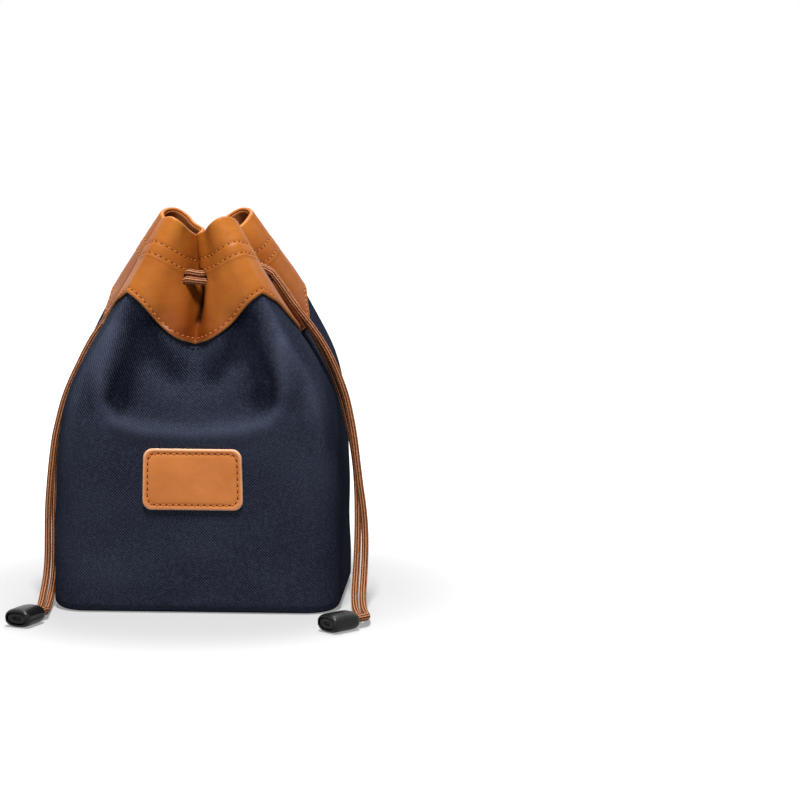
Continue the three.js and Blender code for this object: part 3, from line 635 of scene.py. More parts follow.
def plain_wall(place, height):
    """The outer face of the canvas, as the frame has it."""
    turn = np.mod(place, 4)
    quarter = np.floor(turn)
    share = turn - quarter
    share = np.where(np.mod(quarter, 2) == 0, share, 1 - share)
    sign_x = np.where(quarter < 2, 1, -1)
    sign_y = np.where((quarter == 0) | (quarter == 3), -1, 1)
    body_x, body_y = body_quarter(share)
    mouth_x, mouth_y = mouth_quarter(share)
    drawn = neck_share(height)
    x = body_x + (mouth_x - body_x) * drawn
    y = body_y + (mouth_y - body_y) * drawn
    rise = ramp(height, PLEAT_START, CORD_LEVEL)
    top = np.maximum(0, (height - CORD_LEVEL) / (RIM_TOP - CORD_LEVEL))
    depth = PLEAT_DEPTH * rise * (1 - top * top)
    push_y = depth * bell(x / PLEAT_WIDTH)
    push_x = depth * bell(y / PLEAT_WIDTH)
    x = sign_x * (x - push_x) * (1 + MOUTH_TAPER * sign_y * y * drawn)
    y = sign_y * (y - push_y) - wall_share(place, 0) * front_fold(x, height)
    return np.stack([x, y, height + 0 * x], -1)


SLOT_SEARCH = np.arange(0, 0.4, 0.0005)


def place_from_fold(fold, distance):
    """How far from a pleat's fold a place is, walked along the wall at the cords' level."""
    places = fold + SLOT_SEARCH
    points = plain_wall(places, np.full(places.shape, CORD_LEVEL))
    return np.interp(distance, line_lengths(points), places) - fold


FRONT_SLOT = place_from_fold(0, FRONT_SLOT_FROM_FOLD)
SIDE_SLOT = place_from_fold(1, SIDE_SLOT_FROM_FOLD)

# Small ripples of the front: a line across and down from RIM_TOP, a height and a width. The crease
# lies in the floor of the front pleat.
CREASE_LINE = [(0.0038, 0.035), (0.0036, 0.041), (0.0027, 0.048), (0.0012, 0.056)]
RIPPLES = [
    ([(-0.0055, 0.040), (-0.0075, 0.058)], 0.0009, 0.0032),
    ([(-0.0130, 0.034), (-0.0145, 0.056)], -0.0008, 0.0045),
    ([(0.0100, 0.036), (0.0088, 0.056)], -0.0007, 0.0035),
    ([(0.0195, 0.020), (0.0290, 0.040)], 0.0007, 0.0045),
    ([(-0.0240, 0.018), (-0.0330, 0.040)], 0.0006, 0.0045),
    ([(-0.0300, 0.079), (-0.0120, 0.092)], 0.0006, 0.0060),
    ([(0.0280, 0.079), (0.0100, 0.092)], 0.0005, 0.0060),
    ([(0.0520, 0.098), (0.0600, 0.080)], -0.0007, 0.0055),
    ([(-0.0530, 0.100), (-0.0600, 0.082)], -0.0006, 0.0055),
    (CREASE_LINE, -0.0016, 0.0022),
    ([(-0.0330, 0.052), (-0.0225, 0.067), (-0.0090, 0.081)], -0.0018, 0.0062),
    ([(0.0290, 0.054), (0.0214, 0.068), (0.0100, 0.082)], -0.0018, 0.0062),
    (RIDGE_LINE[1:-1], 0.0008, 0.0040),
    (HOLLOW_LINES[0], -0.0008, 0.0050),
    (HOLLOW_LINES[1], -0.0008, 0.0050),
]
CORNER_RIDGE = 0.0011
CORNER_RIDGE_WIDTH = 0.040
CORNER_RIDGE_LEVELS = (0.060, 0.115)
CORNER_RIDGE_FADE = 0.03
BACK_FOLDS = 0.3
SWELL = 0.00016
SWELL_START = 0.02
SWELL_WAVES = ((1, 62, 0.4), (2, 94, 1.9), (3, 46, 3.1), (5, 122, 0.8), (7, 166, 5.0))


def small_folds(place, points):
    """How far the cloth stands out from the plain wall, along the wall's normal."""
    across, height = points[..., 0], points[..., 2]
    amount = np.zeros(place.shape)
    for line, rise, width in RIPPLES:
        distance, _ = nearest_on_line(across, RIM_TOP - height, line)
        amount += wall_share(place, 0) * rise * bell(distance / width)
    amount += wall_share(place, 2) * BACK_FOLDS * front_fold(-across, height)
    rise = ramp(height, *CORNER_RIDGE_LEVELS) * smooth((RIM_TOP - height) / CORNER_RIDGE_FADE)
    amount += CORNER_RIDGE * rise * bell((corner_share(place) - 1) / 2 / CORNER_RIDGE_WIDTH)
    for count, pitch, phase in SWELL_WAVES:
        swell = np.sin(place * math.pi / 2 * count + phase) * np.cos(height * pitch + phase * 2)
        amount += SWELL * swell * smooth(height / SWELL_START)
    return amount


# The lean of the front and back pleats: parts of it, each with its middle, width and shift
LEAN_LEVELS = (0.138, 0.170)
LEANS = ((0.0, 0.045, 0.0038), (0.11, 0.05, -0.0022))
LEAN_WALLS = ((0, 1.0), (2, -0.8))
LEAN_EXTRA = 0.25
LEAN_EXTRA_RISE = 0.02


def pleat_lean(place, height):
    """How far the front and back pleats lean over, to the wall's right."""
    grow = ramp(height, *LEAN_LEVELS) + LEAN_EXTRA * smooth((height - CORD_LEVEL) / LEAN_EXTRA_RISE)
    lean = np.zeros(place.shape)
    for wall, strength in LEAN_WALLS:
        for middle, width, shift in LEANS:
            lean += strength * shift * bell((from_middle(place, wall) - middle) / width)
    return np.stack([lean * grow, 0 * lean, 0 * lean], -1)


def normals_of(points):
    """Outward normals of a lattice whose columns close round."""
    across = np.roll(points, -1, 1) - np.roll(points, 1, 1)
    up = np.gradient(points, axis=0)
    normal = np.cross(across, up)
    return normal / np.linalg.norm(normal, axis=-1, keepdims=True)


WALL_ROWS = int(round(RIM_TOP / WALL_STEP)) + 3
LAST_ROW = WALL_ROWS - 1.001
PLACES = np.arange(COLUMNS) * 4 / COLUMNS
SOFT_PASSES = 8


def soften(points):
    """Round off the slight crease where the two halves of a corner meet."""
    for _ in range(SOFT_PASSES):
        points = (np.roll(points, 1, 1) + 2 * points + np.roll(points, -1, 1)) / 4
    return points


def build_wall():
    """Points, normals and relief of the wall over a table of heights and places."""
    place, height = np.meshgrid(PLACES, np.arange(WALL_ROWS) * WALL_STEP)
    points = soften(plain_wall(place, height) + pleat_lean(place, height))
    ripples = small_folds(place, points)
    relief = ripples + wall_share(place, 0) * front_fold(points[..., 0], height)
    points += normals_of(points) * ripples[..., None]
    return points, normals_of(points), relief[..., None]


WALL, WALL_NORMALS, WALL_RELIEF = build_wall()


def sample(table, place, height):
    """A table over the wall, read between its rows and columns."""
    column = np.mod(place, 4) * COLUMNS / 4
    row = np.clip(np.asarray(height) / WALL_STEP, 0, LAST_ROW)
    left, low = np.floor(column).astype(int), np.floor(row).astype(int)
    part_across, part_up = (column - left)[..., None], (row - low)[..., None]
    left, right = left % COLUMNS, (left + 1) % COLUMNS
    bottom = table[low, left] * (1 - part_across) + table[low, right] * part_across
    top = table[low + 1, left] * (1 - part_across) + table[low + 1, right] * part_across
    return bottom * (1 - part_up) + top * part_up


def wall_at(place, height, offset):
    place, height, offset = np.broadcast_arrays(*np.atleast_1d(place, height, offset))
    return sample(WALL, place, height) + sample(WALL_NORMALS, place, height) * offset[..., None]


# Distance round the full bag up to each column, for the cloth's weave
HALF_WALLS = [HALF_WALL[wall] for wall in (0, 1, 1, 0, 0, 1, 1, 0)]
ROUND = np.interp(np.arange(COLUMNS + 1) * 4 / COLUMNS, np.arange(9) / 2, np.cumsum([0, *HALF_WALLS]))


def rim_height(place):
    return RIM_TOP - np.hypot(RIM_DROP * (1 - corner_share(place)), RIM_ROUNDING)


def collar_edge(place):
    curved = (corner_share(place) + (1 - np.cos(place * 2 * math.pi)) / 2) / 2
    return COLLAR_EDGE_LOW + (COLLAR_EDGE_HIGH - COLLAR_EDGE_LOW) * curved


PLACE_STEP = 0.01


def metres_per_place(place):
    """Length along the wall for one step of place, at the cords' level."""
    near = wall_at(place + np.array([-PLACE_STEP, PLACE_STEP]), CORD_LEVEL, 0)
    return np.linalg.norm(near[1] - near[0]) / (2 * PLACE_STEP)


def rings(profile):
    """Rings of the wall, and their heights. The profile has each ring's height and offset, as one
    number or over the places."""
    heights = np.stack([height + 0 * PLACES for height, _ in profile])
    return np.stack([wall_at(PLACES, height, offset) for height, offset in profile]), heights


def spread(low, high, step):
    """Heights from low to high, with about a step between them."""
    count = max(2, int(math.ceil(np.max(high - low) / step)))
    return [low + (high - low) * index / count for index in range(count + 1)]


def flat_panel(name, profile, inset, *placing):
    """A flat piece across the bag. The profile has each ring's way in from the edge, and its height."""
    points, heights = rings([(height, -inset - reach) for reach, height in profile])
    points[..., 2] = heights
    reaches = np.array([reach for reach, _ in profile])
    return lattice_piece(name, points, ROUND, reaches, *placing, caps=True)


# Canvas

# How far cloth stands out or sinks in where its painted light or painted shade is fullest
FULL_PAINTED_SHADE_RELIEF = 0.0022
CANVAS_STEPS = (0.0012, 0.0009)
CANVAS_BACK_STEPS = (0.006, 0.004)
BOTTOM_RINGS = 10
BASE_GAP = 0.0005
BASE_PROFILE = [
    (0.030, 0.0), (0.015, 0.0), (0.004, 0.0), (0.0015, 0.0), (0.0005, 0.0002), (0.0, 0.0006),
    (0.0005, 0.0010), (0.0015, 0.0012), (0.004, 0.0010), (0.015, 0.0011), (0.030, 0.0012),
]


def bottom_rounding(radius, angles):
    """Rings of the canvas's rounded lower edge."""
    return [(BOTTOM_RADIUS - radius * math.cos(angle), radius * math.sin(angle) - BOTTOM_RADIUS)
            for angle in angles]


def wall_heights(low, middle, top, steps):
    """Heights up the wall, with one step up to a middle level and another above it."""
    return spread(low, middle, steps[0]) + spread(middle, top, steps[1])[1:]


def make_canvas_body():
    top = collar_edge(PLACES) + COLLAR_LAP
    angles = [index / BOTTOM_RINGS * math.pi / 2 for index in range(BOTTOM_RINGS)]
    outer = wall_heights(BOTTOM_RADIUS, PLEAT_START, top, CANVAS_STEPS)
    inner = wall_heights(BOTTOM_RADIUS, PLEAT_START, top, CANVAS_BACK_STEPS)[::-1]
    profile = bottom_rounding(BOTTOM_RADIUS, angles) + [(height, 0.0) for height in outer]
    profile += [(height, CANVAS_INNER) for height in inner]
    profile += bottom_rounding(BOTTOM_RADIUS + CANVAS_INNER, angles[::-2])
    points, heights = rings(profile)
    # The folds' relief, given to the cloth's colour as painted shade in hollows and painted light on raised
    # folds
    relief = sample(WALL_RELIEF, PLACES, heights)[..., 0]
    lattice_piece("canvas_body_cloth", points, ROUND, heights, CANVAS, "canvas", "canvas_body",
                  loop=True, shade=np.clip(relief / FULL_PAINTED_SHADE_RELIEF, -1, 1))


def make_canvas_base():
    """The flat bottom panel, with a sewn roll round its edge."""
    flat_panel("canvas_base_panel", BASE_PROFILE, BOTTOM_RADIUS + BASE_GAP, CANVAS, "canvas", "canvas_base")


# Leather collar and its facing

EDGE_ROW = 0.0021
HEM_ROWS = (0.0135, 0.0190)
HEM_DEPTH = 0.0215
HEM_EXTRA = 0.0003
HEM_STEP = 0.0012
ROW_GROOVE = 0.00028
ROW_GROOVE_WIDTH = 0.0008
LIP_HEIGHT = 0.0009
LIP_DEPTH = 0.0007
LIP_SWELL = 0.00018
LIP_SWELL_WIDTH = 0.0006


def leather_face(from_edge, from_rim):
    """Offset of the collar's outer face: a rounded lip, a thicker hem and a groove at each row."""
    offset = LEATHER_OUTER + HEM_EXTRA * smooth((HEM_DEPTH - from_rim) / HEM_STEP)
    for distance in (from_edge - EDGE_ROW, *(from_rim - row for row in HEM_ROWS)):
        offset = offset - ROW_GROOVE * bell(distance / ROW_GROOVE_WIDTH)
    lip = np.clip(1 - from_edge / LIP_HEIGHT, 0, 1)
    offset = offset + LIP_SWELL * bell((from_edge - LIP_HEIGHT) / LIP_SWELL_WIDTH)
    return offset - LIP_DEPTH * (1 - np.sqrt(np.clip(1 - lip * lip, 0, 1)))


# Painted shade in the collar's folds: its reach from a pleat, its share high on the collar, the heights over
# which it grows to full, and its fade under the rim
FOLD_SHADE_REACH = 0.38
FOLD_SHADE_LEAST = 0.62
FOLD_SHADE_LEVELS = (0.165, 0.140)
FOLD_SHADE_RIM_FADE = 0.015
# Width of the painted shadow in the pleat's gap, and how much narrower it is at its top
CREVICE_WIDTH = 0.0018
CREVICE_NARROWING = 0.6
LIP_RINGS = (0.0, 0.0002, 0.0005, LIP_HEIGHT)
COLLAR_STEPS = (0.0007, 0.006)
ROLL_GAP = 0.0005
EDGE_SHADE = 0.85
EDGE_SHADE_PER_METRE = -950
RIM_SHADE = 0.35
RIM_SHADE_LEVEL = 0.0002
RIM_SHADE_WIDTH = 0.0005
BACK_SHADE = 0.3
FACING_OUTER = -0.00005
FACING_STEPS = (0.003, 0.0012)
RIM_ROLL = ((0.0011, 0.0022), (0.0005, 0.0020), (0.0001, 0.0014), (0.0, 0.0009), (0.0001, 0.0004),
            (0.0004, 0.0), (0.0008, 0.0))


def leather_fold_shade(place, height):
    """How much painted shade the leather's folds get: most low in a pleat, and none at a corner or the rim.
    """
    low = FOLD_SHADE_LEAST + (1 - FOLD_SHADE_LEAST) * ramp(height, *FOLD_SHADE_LEVELS)
    rim = smooth((rim_height(place) - height) / FOLD_SHADE_RIM_FADE)
    return bell(corner_share(place) / 2 / FOLD_SHADE_REACH) * low * rim


def leather_crevice(points):
    """1 where a shadow is painted in the narrow gap of the front pleat, under the drawcords. It is wider
    further down.
    """
    distance, share = nearest_on_line(points[..., 0], RIM_TOP - points[..., 2], CREASE_LINE)
    front = points[..., 1] < 0
    return front * bell(distance / CREVICE_WIDTH * (1 + CREVICE_NARROWING * (1 - share)))


def make_collar():
    """The collar: its lip and outer face, the roll of its rim and its inner face."""
    edge, rim = collar_edge(PLACES), rim_height(PLACES)
    face = [edge + distance for distance in LIP_RINGS]
    face += spread(edge + LIP_HEIGHT + ROLL_GAP, rim - RIM_ROLL[0][0] - ROLL_GAP, COLLAR_STEPS[0])
    back = spread(edge, rim - RIM_ROLL[-1][0] - ROLL_GAP, COLLAR_STEPS[1])[::-1]
    profile = [(height, leather_face(height - edge, rim - height)) for height in face]
    profile += [(rim - below, offset) for below, offset in RIM_ROLL]
    profile += [(height, LEATHER_INNER) for height in back]
    shades = [EDGE_SHADE + EDGE_SHADE_PER_METRE * distance for distance in LIP_RINGS]
    shades += [0.0] * (len(face) - len(LIP_RINGS))
    shades += [RIM_SHADE * bell((below - RIM_SHADE_LEVEL) / RIM_SHADE_WIDTH) for below, _ in RIM_ROLL]
    shades += [BACK_SHADE] * len(back)
    points, heights = rings(profile)
    return lattice_piece("collar_leather", points, ROUND, heights, LEATHER, "leather", "leather_collar",
                         loop=True, shade=np.array(shades)[:, None], fold=leather_fold_shade(PLACES, heights),
                         crevice=leather_crevice(points))


def make_facing():
    """The inner layer of the collar, from the canvas's top edge to just under the rim."""
    low = collar_edge(PLACES) + COLLAR_LAP + EDGE_GAP
    high = rim_height(PLACES) - EDGE_GAP
    profile = [(height, FACING_OUTER) for height in spread(low, high, FACING_STEPS[0])]
    profile += [(height, FACING_INNER) for height in spread(low, high, FACING_STEPS[1])[::-1]]
    points, heights = rings(profile)
    return lattice_piece("collar_facing_leather", points, ROUND, heights, FACING, "facing",
                         "collar_facing", loop=True)


# Lining and padding

LINING_FLOOR = 0.0062
LINING_WALL = LINING_FLOOR + 0.0015
LINING_REACHES = (0.034, 0.02, 0.008, 0.003)
LINING_RISE = 0.014
LINING_STEPS = (0.006, 0.0025)
PAD_EDGE = 0.005
PAD_SIDES = 48
PAD_RINGS = 25
PAD_END_POWER = 0.16
PAD_HEIGHT_POWER = 0.8
PAD_WIDTH_POWER = 0.25
PAD_THICKNESS_POWER = 0.4
PAD_THINNING = 0.98
PAD_LEAST = 0.02
FOAM_BASE_GAP = 0.0062
FOAM_BASE_PROFILE = [
    (0.030, 0.0017), (0.01, 0.0017), (0.002, 0.0017), (0.0006, 0.0023), (0.0, 0.0037),
    (0.0006, 0.0051), (0.002, 0.0057), (0.01, 0.0057), (0.03, 0.0057),
]


def make_lining():
    """The inner bag: inside the pads up to their top, and close to the canvas above them."""
    top = collar_edge(PLACES) + COLLAR_LAP
    profile = [(LINING_FLOOR, LINING_OUTER_LOW - reach) for reach in LINING_REACHES]
    for height in wall_heights(LINING_WALL, FOAM_TOP, top, LINING_STEPS):
        share = smooth((height - FOAM_TOP) / LINING_RISE)
        profile.append((height, LINING_OUTER_LOW + (LINING_OUTER_HIGH - LINING_OUTER_LOW) * share))
    inner = [(height, offset - LINING_THICKNESS) for height, offset in profile[::-1]]
    raised = len(inner) - len(LINING_REACHES)
    profile += inner[:raised] + [(height + LINING_THICKNESS, offset) for height, offset in inner[raised:]]
    points, heights = rings(profile)
    points[..., 2] = np.maximum(points[..., 2], LINING_FLOOR)
    lattice_piece("lining_bag", points, ROUND, heights, LINING, "lining", "lining", caps=True)


def make_foam_pad(wall, wall_name):
    """A pad of foam behind one wall, with soft edges."""
    half = HALF_STRAIGHT[wall % 2] - PAD_EDGE
    per_place = 2 * HALF_WALL[wall % 2]
    middle, thick = (FOAM_OUTER + FOAM_INNER) / 2, (FOAM_OUTER - FOAM_INNER) / 2
    middle_height, half_height = (FOAM_BOTTOM + FOAM_TOP) / 2, (FOAM_TOP - FOAM_BOTTOM) / 2
    rows, heights = [], []
    for angle in np.linspace(-1, 1, PAD_RINGS) * math.pi / 2:
        height = middle_height + half_height * power(math.sin(angle), PAD_HEIGHT_POWER)
        scale = max(PAD_LEAST, math.cos(angle)) ** PAD_END_POWER
        across = half * scale * power(np.cos(turns(PAD_SIDES)), PAD_WIDTH_POWER)
        offset = middle + thick * scale * power(np.sin(turns(PAD_SIDES)), PAD_THICKNESS_POWER) * PAD_THINNING
        rows.append(wall_at(wall + across / per_place, height, offset))
        heights.append(height)
    piece = lattice_piece(f"foam_{wall_name}_pad", rows, np.linspace(0, 4 * half, PAD_SIDES + 1), heights,
                          FOAM, "foam", f"foam_{wall_name}", caps=True)


def make_foam_base():
    piece = flat_panel("foam_base_pad", FOAM_BASE_PROFILE, FOAM_BASE_GAP, FOAM, "foam", "foam_base")


# Stitching. A stitch's rings have a share of its length, a lift and a radius.

STITCH_SIDES = 6
STITCH_PITCH = 0.0032
STITCH_RINGS = [(0.20, -0.00024, 0.00018), (0.30, 0.00002, 0.00028), (0.5, 0.00012, 0.00034),
                (0.70, 0.00002, 0.00028), (0.80, -0.00024, 0.00018)]
HOLE_SIDES = 8
HOLE_HALF_LENGTH = 0.00072
HOLE_HALF_WIDTH = 0.00052
HOLE_RISE = 0.00006
HOLE_RINGS = [(1.0, -0.0002), (1.0, HOLE_RISE * 0.4), (0.7, HOLE_RISE)]
CANVAS_ROW = 0.0022
CANVAS_ROW_LIFT = 0.00005


def one_stitch(start, run, normal):
    across = np.cross(normal, run / np.linalg.norm(run))
    return oval_tube([(start + run * part + normal * lift, across * radius, normal * radius)
                      for part, lift, radius in STITCH_RINGS], STITCH_SIDES)


def one_hole(centre, run, normal):
    along = run / np.linalg.norm(run)
    wide, long = np.cross(normal, along) * HOLE_HALF_WIDTH, along * HOLE_HALF_LENGTH
    return oval_tube([(centre + normal * lift, wide * share, long * share) for share, lift in HOLE_RINGS],
                     HOLE_SIDES)


def make_stitch_row(name, place, height, offset, thread, slot, pitch=STITCH_PITCH, holes=True):
    """A closed row of stitches along the wall, with a needle hole between each two, drawn as a dark oval: a
    painted shadow.
    """
    closed = [np.vstack([table, table[:1]])
              for table in (wall_at(place, height, offset), sample(WALL_NORMALS, place, height))]
    places, normals = even_steps(pitch, *closed)
    normals /= np.linalg.norm(normals, axis=1, keepdims=True)
    each = list(zip(places[:-1], np.diff(places, axis=0), normals))
    finish_piece(name, join_meshes(name, [one_stitch(*stitch) for stitch in each]), thread, "bag")
    if holes:
        hole_mesh = join_meshes(f"{name}_holes", [one_hole(*stitch) for stitch in each])
        finish_piece(f"{name}_holes", hole_mesh, STITCH_HOLE_SHADOW, "bag")


def make_collar_stitching():
    edge, rim = collar_edge(PLACES), rim_height(PLACES)
    lines = [("collar_edge_stitches", edge + EDGE_ROW)]
    lines += [(f"collar_hem_stitches_{index + 1}", rim - row) for index, row in enumerate(HEM_ROWS)]
    for name, height in lines:
        offset = leather_face(height - edge, rim - height)
        make_stitch_row(name, PLACES, height, offset, TAN_THREAD, "leather")
    make_stitch_row("canvas_edge_stitches", PLACES, edge - CANVAS_ROW, CANVAS_ROW_LIFT,
                    NAVY_THREAD, "canvas", holes=False)


# Label patch. Its profile has each ring's way in from the edge, its height and its edge shade.

LABEL_STITCH_INSET = 0.0026
LABEL_STITCH_CORNER = LABEL_CORNER - LABEL_STITCH_INSET * 0.6
LABEL_STITCH_LIFT = 0.00122
LABEL_STITCH_PITCH = 0.0033
LABEL_BACK = 0.0004
LABEL_FACE = 0.00152
LABEL_INSIDE = 0.0040
LABEL_BACK_PARTS = (0.02, 0.5)
LABEL_FACE_PARTS = np.linspace(0.9, 0.02, 12)
LABEL_PROFILE = [
    (0.0, LABEL_BACK, 0.9), (0.0, 0.0007, 0.9), (0.00015, 0.0011, 0.8), (0.0004, 0.00145, 0.6),
    (0.0008, 0.00155, 0.3), (0.0012, 0.00158, 0.1), (0.0017, 0.0015, 0.0), (0.0020, 0.00138, 0.0),
    (0.0024, 0.00120, 0.0), (0.0028, 0.00120, 0.0), (0.0032, 0.00136, 0.0), (LABEL_INSIDE, 0.00150, 0.0),
]


def rounded_outline(half_width, half_height, corner, steps=10, reach=0.0008):
    """Points of a rounded rectangle, none further from the next than about the reach."""
    points = []
    for index, (sign_x, sign_y) in enumerate(((1, 1), (-1, 1), (-1, -1), (1, -1))):
        for angle in (index + np.arange(steps + 1) / steps) * math.pi / 2:
            points.append((sign_x * (half_width - corner) + corner * math.cos(angle),
                           sign_y * (half_height - corner) + corner * math.sin(angle)))
    dense = []
    for start, stop in zip(np.array(points), np.roll(points, -1, 0)):
        count = max(1, int(np.linalg.norm(stop - start) / reach))
        dense += [start + (stop - start) * part / count for part in range(count)]
    return np.array(dense)


def label_place(outline):
    """Place and height on the wall of flat label points."""
    return outline[:, 0] / (2 * HALF_WALL[0]), LABEL_MIDDLE + outline[:, 1]


def make_label():
    half = np.array([LABEL_WIDTH, LABEL_HEIGHT]) / 2
    base = rounded_outline(*half, LABEL_CORNER)
    inside = base * (1 - LABEL_INSIDE / half)
    profile = [(base * part, LABEL_BACK, 0.0, 0.0) for part in LABEL_BACK_PARTS]
    profile += [(base * (1 - inset / half), lift, shade, inset) for inset, lift, shade in LABEL_PROFILE]
    profile += [(inside * part, LABEL_FACE, 0.0, LABEL_INSIDE + (1 - part) * half[1])
                for part in LABEL_FACE_PARTS]
    rows = [wall_at(*label_place(outline), lift) for outline, lift, _, _ in profile]
    shades = np.array([[shade] for _, _, shade, _ in profile])
    around = line_lengths(np.vstack([base, base[:1]]))
    lattice_piece("label_patch_leather", rows, around, [length for _, _, _, length in profile],
                  LABEL_LEATHER, "label", "label_patch", caps=True, shade=shades)
    line = rounded_outline(*(half - LABEL_STITCH_INSET), LABEL_STITCH_CORNER)
    make_stitch_row("label_stitches", *label_place(line), LABEL_STITCH_LIFT, TAN_THREAD, "label",
                    pitch=LABEL_STITCH_PITCH)


# Cords


def catmull_rom(points):
    """A centripetal Catmull-Rom curve through the points."""
    points = np.asarray(points, float)
    points = np.vstack([2 * points[0] - points[1], points, 2 * points[-1] - points[-2]])
    part = (np.arange(CURVE_STEPS) / CURVE_STEPS)[:, None]
    square, cube = part ** 2, part ** 3
    curve = []
    for before, start, stop, after in zip(points, points[1:], points[2:], points[3:]):
        first, gap, last = (max(1e-9, np.linalg.norm(b - a)) ** 0.5
                            for a, b in ((before, start), (start, stop), (stop, after)))
        leave = (start - before) / first - (stop - before) / (first + gap) + (stop - start) / gap
        arrive = (stop - start) / gap - (after - start) / (gap + last) + (after - stop) / last
        curve.append(start * (2 * cube - 3 * square + 1) + leave * gap * (cube - 2 * square + part)
                     + stop * (3 * square - 2 * cube) + arrive * gap * (cube - square))
    return np.vstack([*curve, points[-2]])


def even_path(points):
    """The curve through some points, in even steps, and its length."""
    curve = catmull_rom(points)
    path, = even_steps(CORD_STEP, curve)
    return path, line_lengths(curve)[-1]


def carried_frames(path):
    """Two directions across the path at each point, carried along it without twist."""
    tangents = np.gradient(path, axis=0)
    tangents /= np.linalg.norm(tangents, axis=1, keepdims=True)
    side = np.cross(tangents[0], [0, 0, 1.0])
    sides = []
    for tangent in tangents:
        side = side - tangent * (side @ tangent)
        side = side / np.linalg.norm(side)
        sides.append(side)
    sides = np.array(sides)
    return sides, np.cross(tangents, sides)


def cord_mesh(name, path, length, turned=False):
    """A braided cord: ribs along it, and slanting yarns on each rib. A turned cord twists a little,
    so that its ribs end level with Y, as a tail's ribs begin."""
    around = CORD_RIBS * RIB_POINTS
    turn = np.arange(around) / RIB_POINTS
    within = np.mod(turn, 1) * 2 - 1
    rib = np.sqrt(1 - (within * RIB_ROUNDNESS) ** 2)
    direction = np.where(np.mod(np.floor(turn), 2) == 0, 1, -1)
    first, second = carried_frames(path)
    along = np.linspace(0, length, len(path))
    twist = 0 * along
    if turned:
        rib_angle = 2 * math.pi / CORD_RIBS
        level = math.atan2(second[-1][1], first[-1][1])
        twist = (level - rib_angle * round(level / rib_angle)) * along / length
    angle = turns(around) + twist[:, None]
    phase = along[:, None] / YARN_PITCH + YARN_SLANT * within * direction + 0.5 * (direction > 0)
    yarn = YARN_DEPTH * (1 - np.cos(2 * math.pi * phase)) / 2
    radius = CORD_DIAMETER / 2 - RIB_DEPTH * (1 - rib) - yarn
    rows = path[:, None] + radius[..., None] * (
        first[:, None] * np.cos(angle)[..., None] + second[:, None] * np.sin(angle)[..., None])
    return lattice_mesh(name, rows, np.arange(around + 1) / around, along, caps=True)


def end_axes(info):
    """Where the cord goes into a cord end, and the directions along and across that end."""
    heading = math.radians(info["heading"])
    along = np.array([math.cos(heading), math.sin(heading), 0])
    return np.array([*info["entry"], SHELL_HALF_HEIGHT]), along, np.cross((0, 0, 1), along)


def tail_points(info, front):
    """Points of one tail: front is 1 for the front strand and -1 for the rear one."""
    aside = front * STRAND_PITCH / 2
    points = []
    for x, y, z, turn in info["route"]:
        angle = math.radians(turn)
        points.append((x + aside * math.cos(angle), y + aside * math.sin(angle), z))
    entry, along, across = end_axes(info)
    for distance in (-2 * CORD_DIAMETER, 0, SHELL_ENTRY_WALL - JOIN_GAP):
        points.append(entry + along * distance + across * info["side"] * aside)
    return points


def slot_pass(place, level):
    """Where a strand goes through a slot: inside and outside the wall."""
    through = wall_at(place, level, 0)[0]
    normal = sample(WALL_NORMALS, np.array([place]), np.array([level]))[0]
    return through - normal * CORD_INSIDE, through + normal * CORD_OUTSIDE


def held_cord_points(side, level, mouth, fall):
    """A held cord's points: round through all four lobes, with both ends let out at one side.
    fall is the way in which the tails go on from the mouth."""
    near, far = 2 - side, 2 + side
    front_slot, side_slot = side * FRONT_SLOT, side * SIDE_SLOT
    places = [(near - side_slot, front_slot), (-front_slot, far + side_slot),
              (far - side_slot, 2 + front_slot), (2 - front_slot, near + side_slot)]
    lobes = [[slot_pass(place, level) for place in pair] for pair in places]
    reach = np.array([side * STRAND_PITCH / 2] * 3) * (0, side, 0)
    mouth_turn = mouth - fall * CORD_TURN
    out = lobes[0][0][1][0], lobes[-1][1][1][0]
    leave, back = (np.array([x + (mouth[0] - x) * CORD_EXIT_SHARE, 0, level]) for x in out)
    points = [mouth - reach, mouth_turn - reach, leave - reach]
    for index, ((start_in, start_out), (stop_in, stop_out)) in enumerate(lobes):
        middle = (start_in + stop_in) / 2
        middle[:2] += CORD_BOW * np.sign(middle[:2])
        points += [start_out, start_in, middle, stop_in, stop_out]
        if index < len(lobes) - 1:
            bridge = (stop_out + lobes[index + 1][0][1]) / 2
            axis = int(abs(bridge[1]) > abs(bridge[0]))
            bridge[axis] += CORD_BOW / 2 * np.sign(bridge[axis])
            points.append(bridge)
    return points + [back + reach, mouth_turn + reach, mouth + reach]


def make_tail(name, info, strand, front):
    """One free tail, along its route into its cord end."""
    path, length = even_path(tail_points(info, front))
    piece_name = f"{name}_tail_{strand}_cord"
    piece = finish_piece(piece_name, cord_mesh(piece_name, path, length), CORD, None,
                         f"{name}_tail_{strand}")
    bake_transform(piece)


def make_cords():
    for name, info in SIDES.items():
        ends = make_cord_end(name, info)
        for strand, front in (("front", 1), ("rear", -1)):
            make_tail(name, info, strand, front)
        first, second = (np.array(point[:3]) for point in info["route"][:2])
        fall = (second - first) / np.linalg.norm(second - first)
        points = held_cord_points(info["side"], info["level"], first - fall * CORD_MEETING_GAP, fall)
        path, length = even_path(points)
        mesh = cord_mesh(f"drawcord_{name}_cord", path, length, turned=True)
        finish_piece(f"drawcord_{name}_cord", mesh, CORD, "bag", f"drawcord_{name}")


# Cord ends, drawn along +X from the cord's entry with Z as their thickness. A ring of the shell or
# plug has its place along X and how far it grows past the nominal size. A ring of the recess in the
# plug's face, and of the bar on its floor, has its depth under the face and its half sizes.

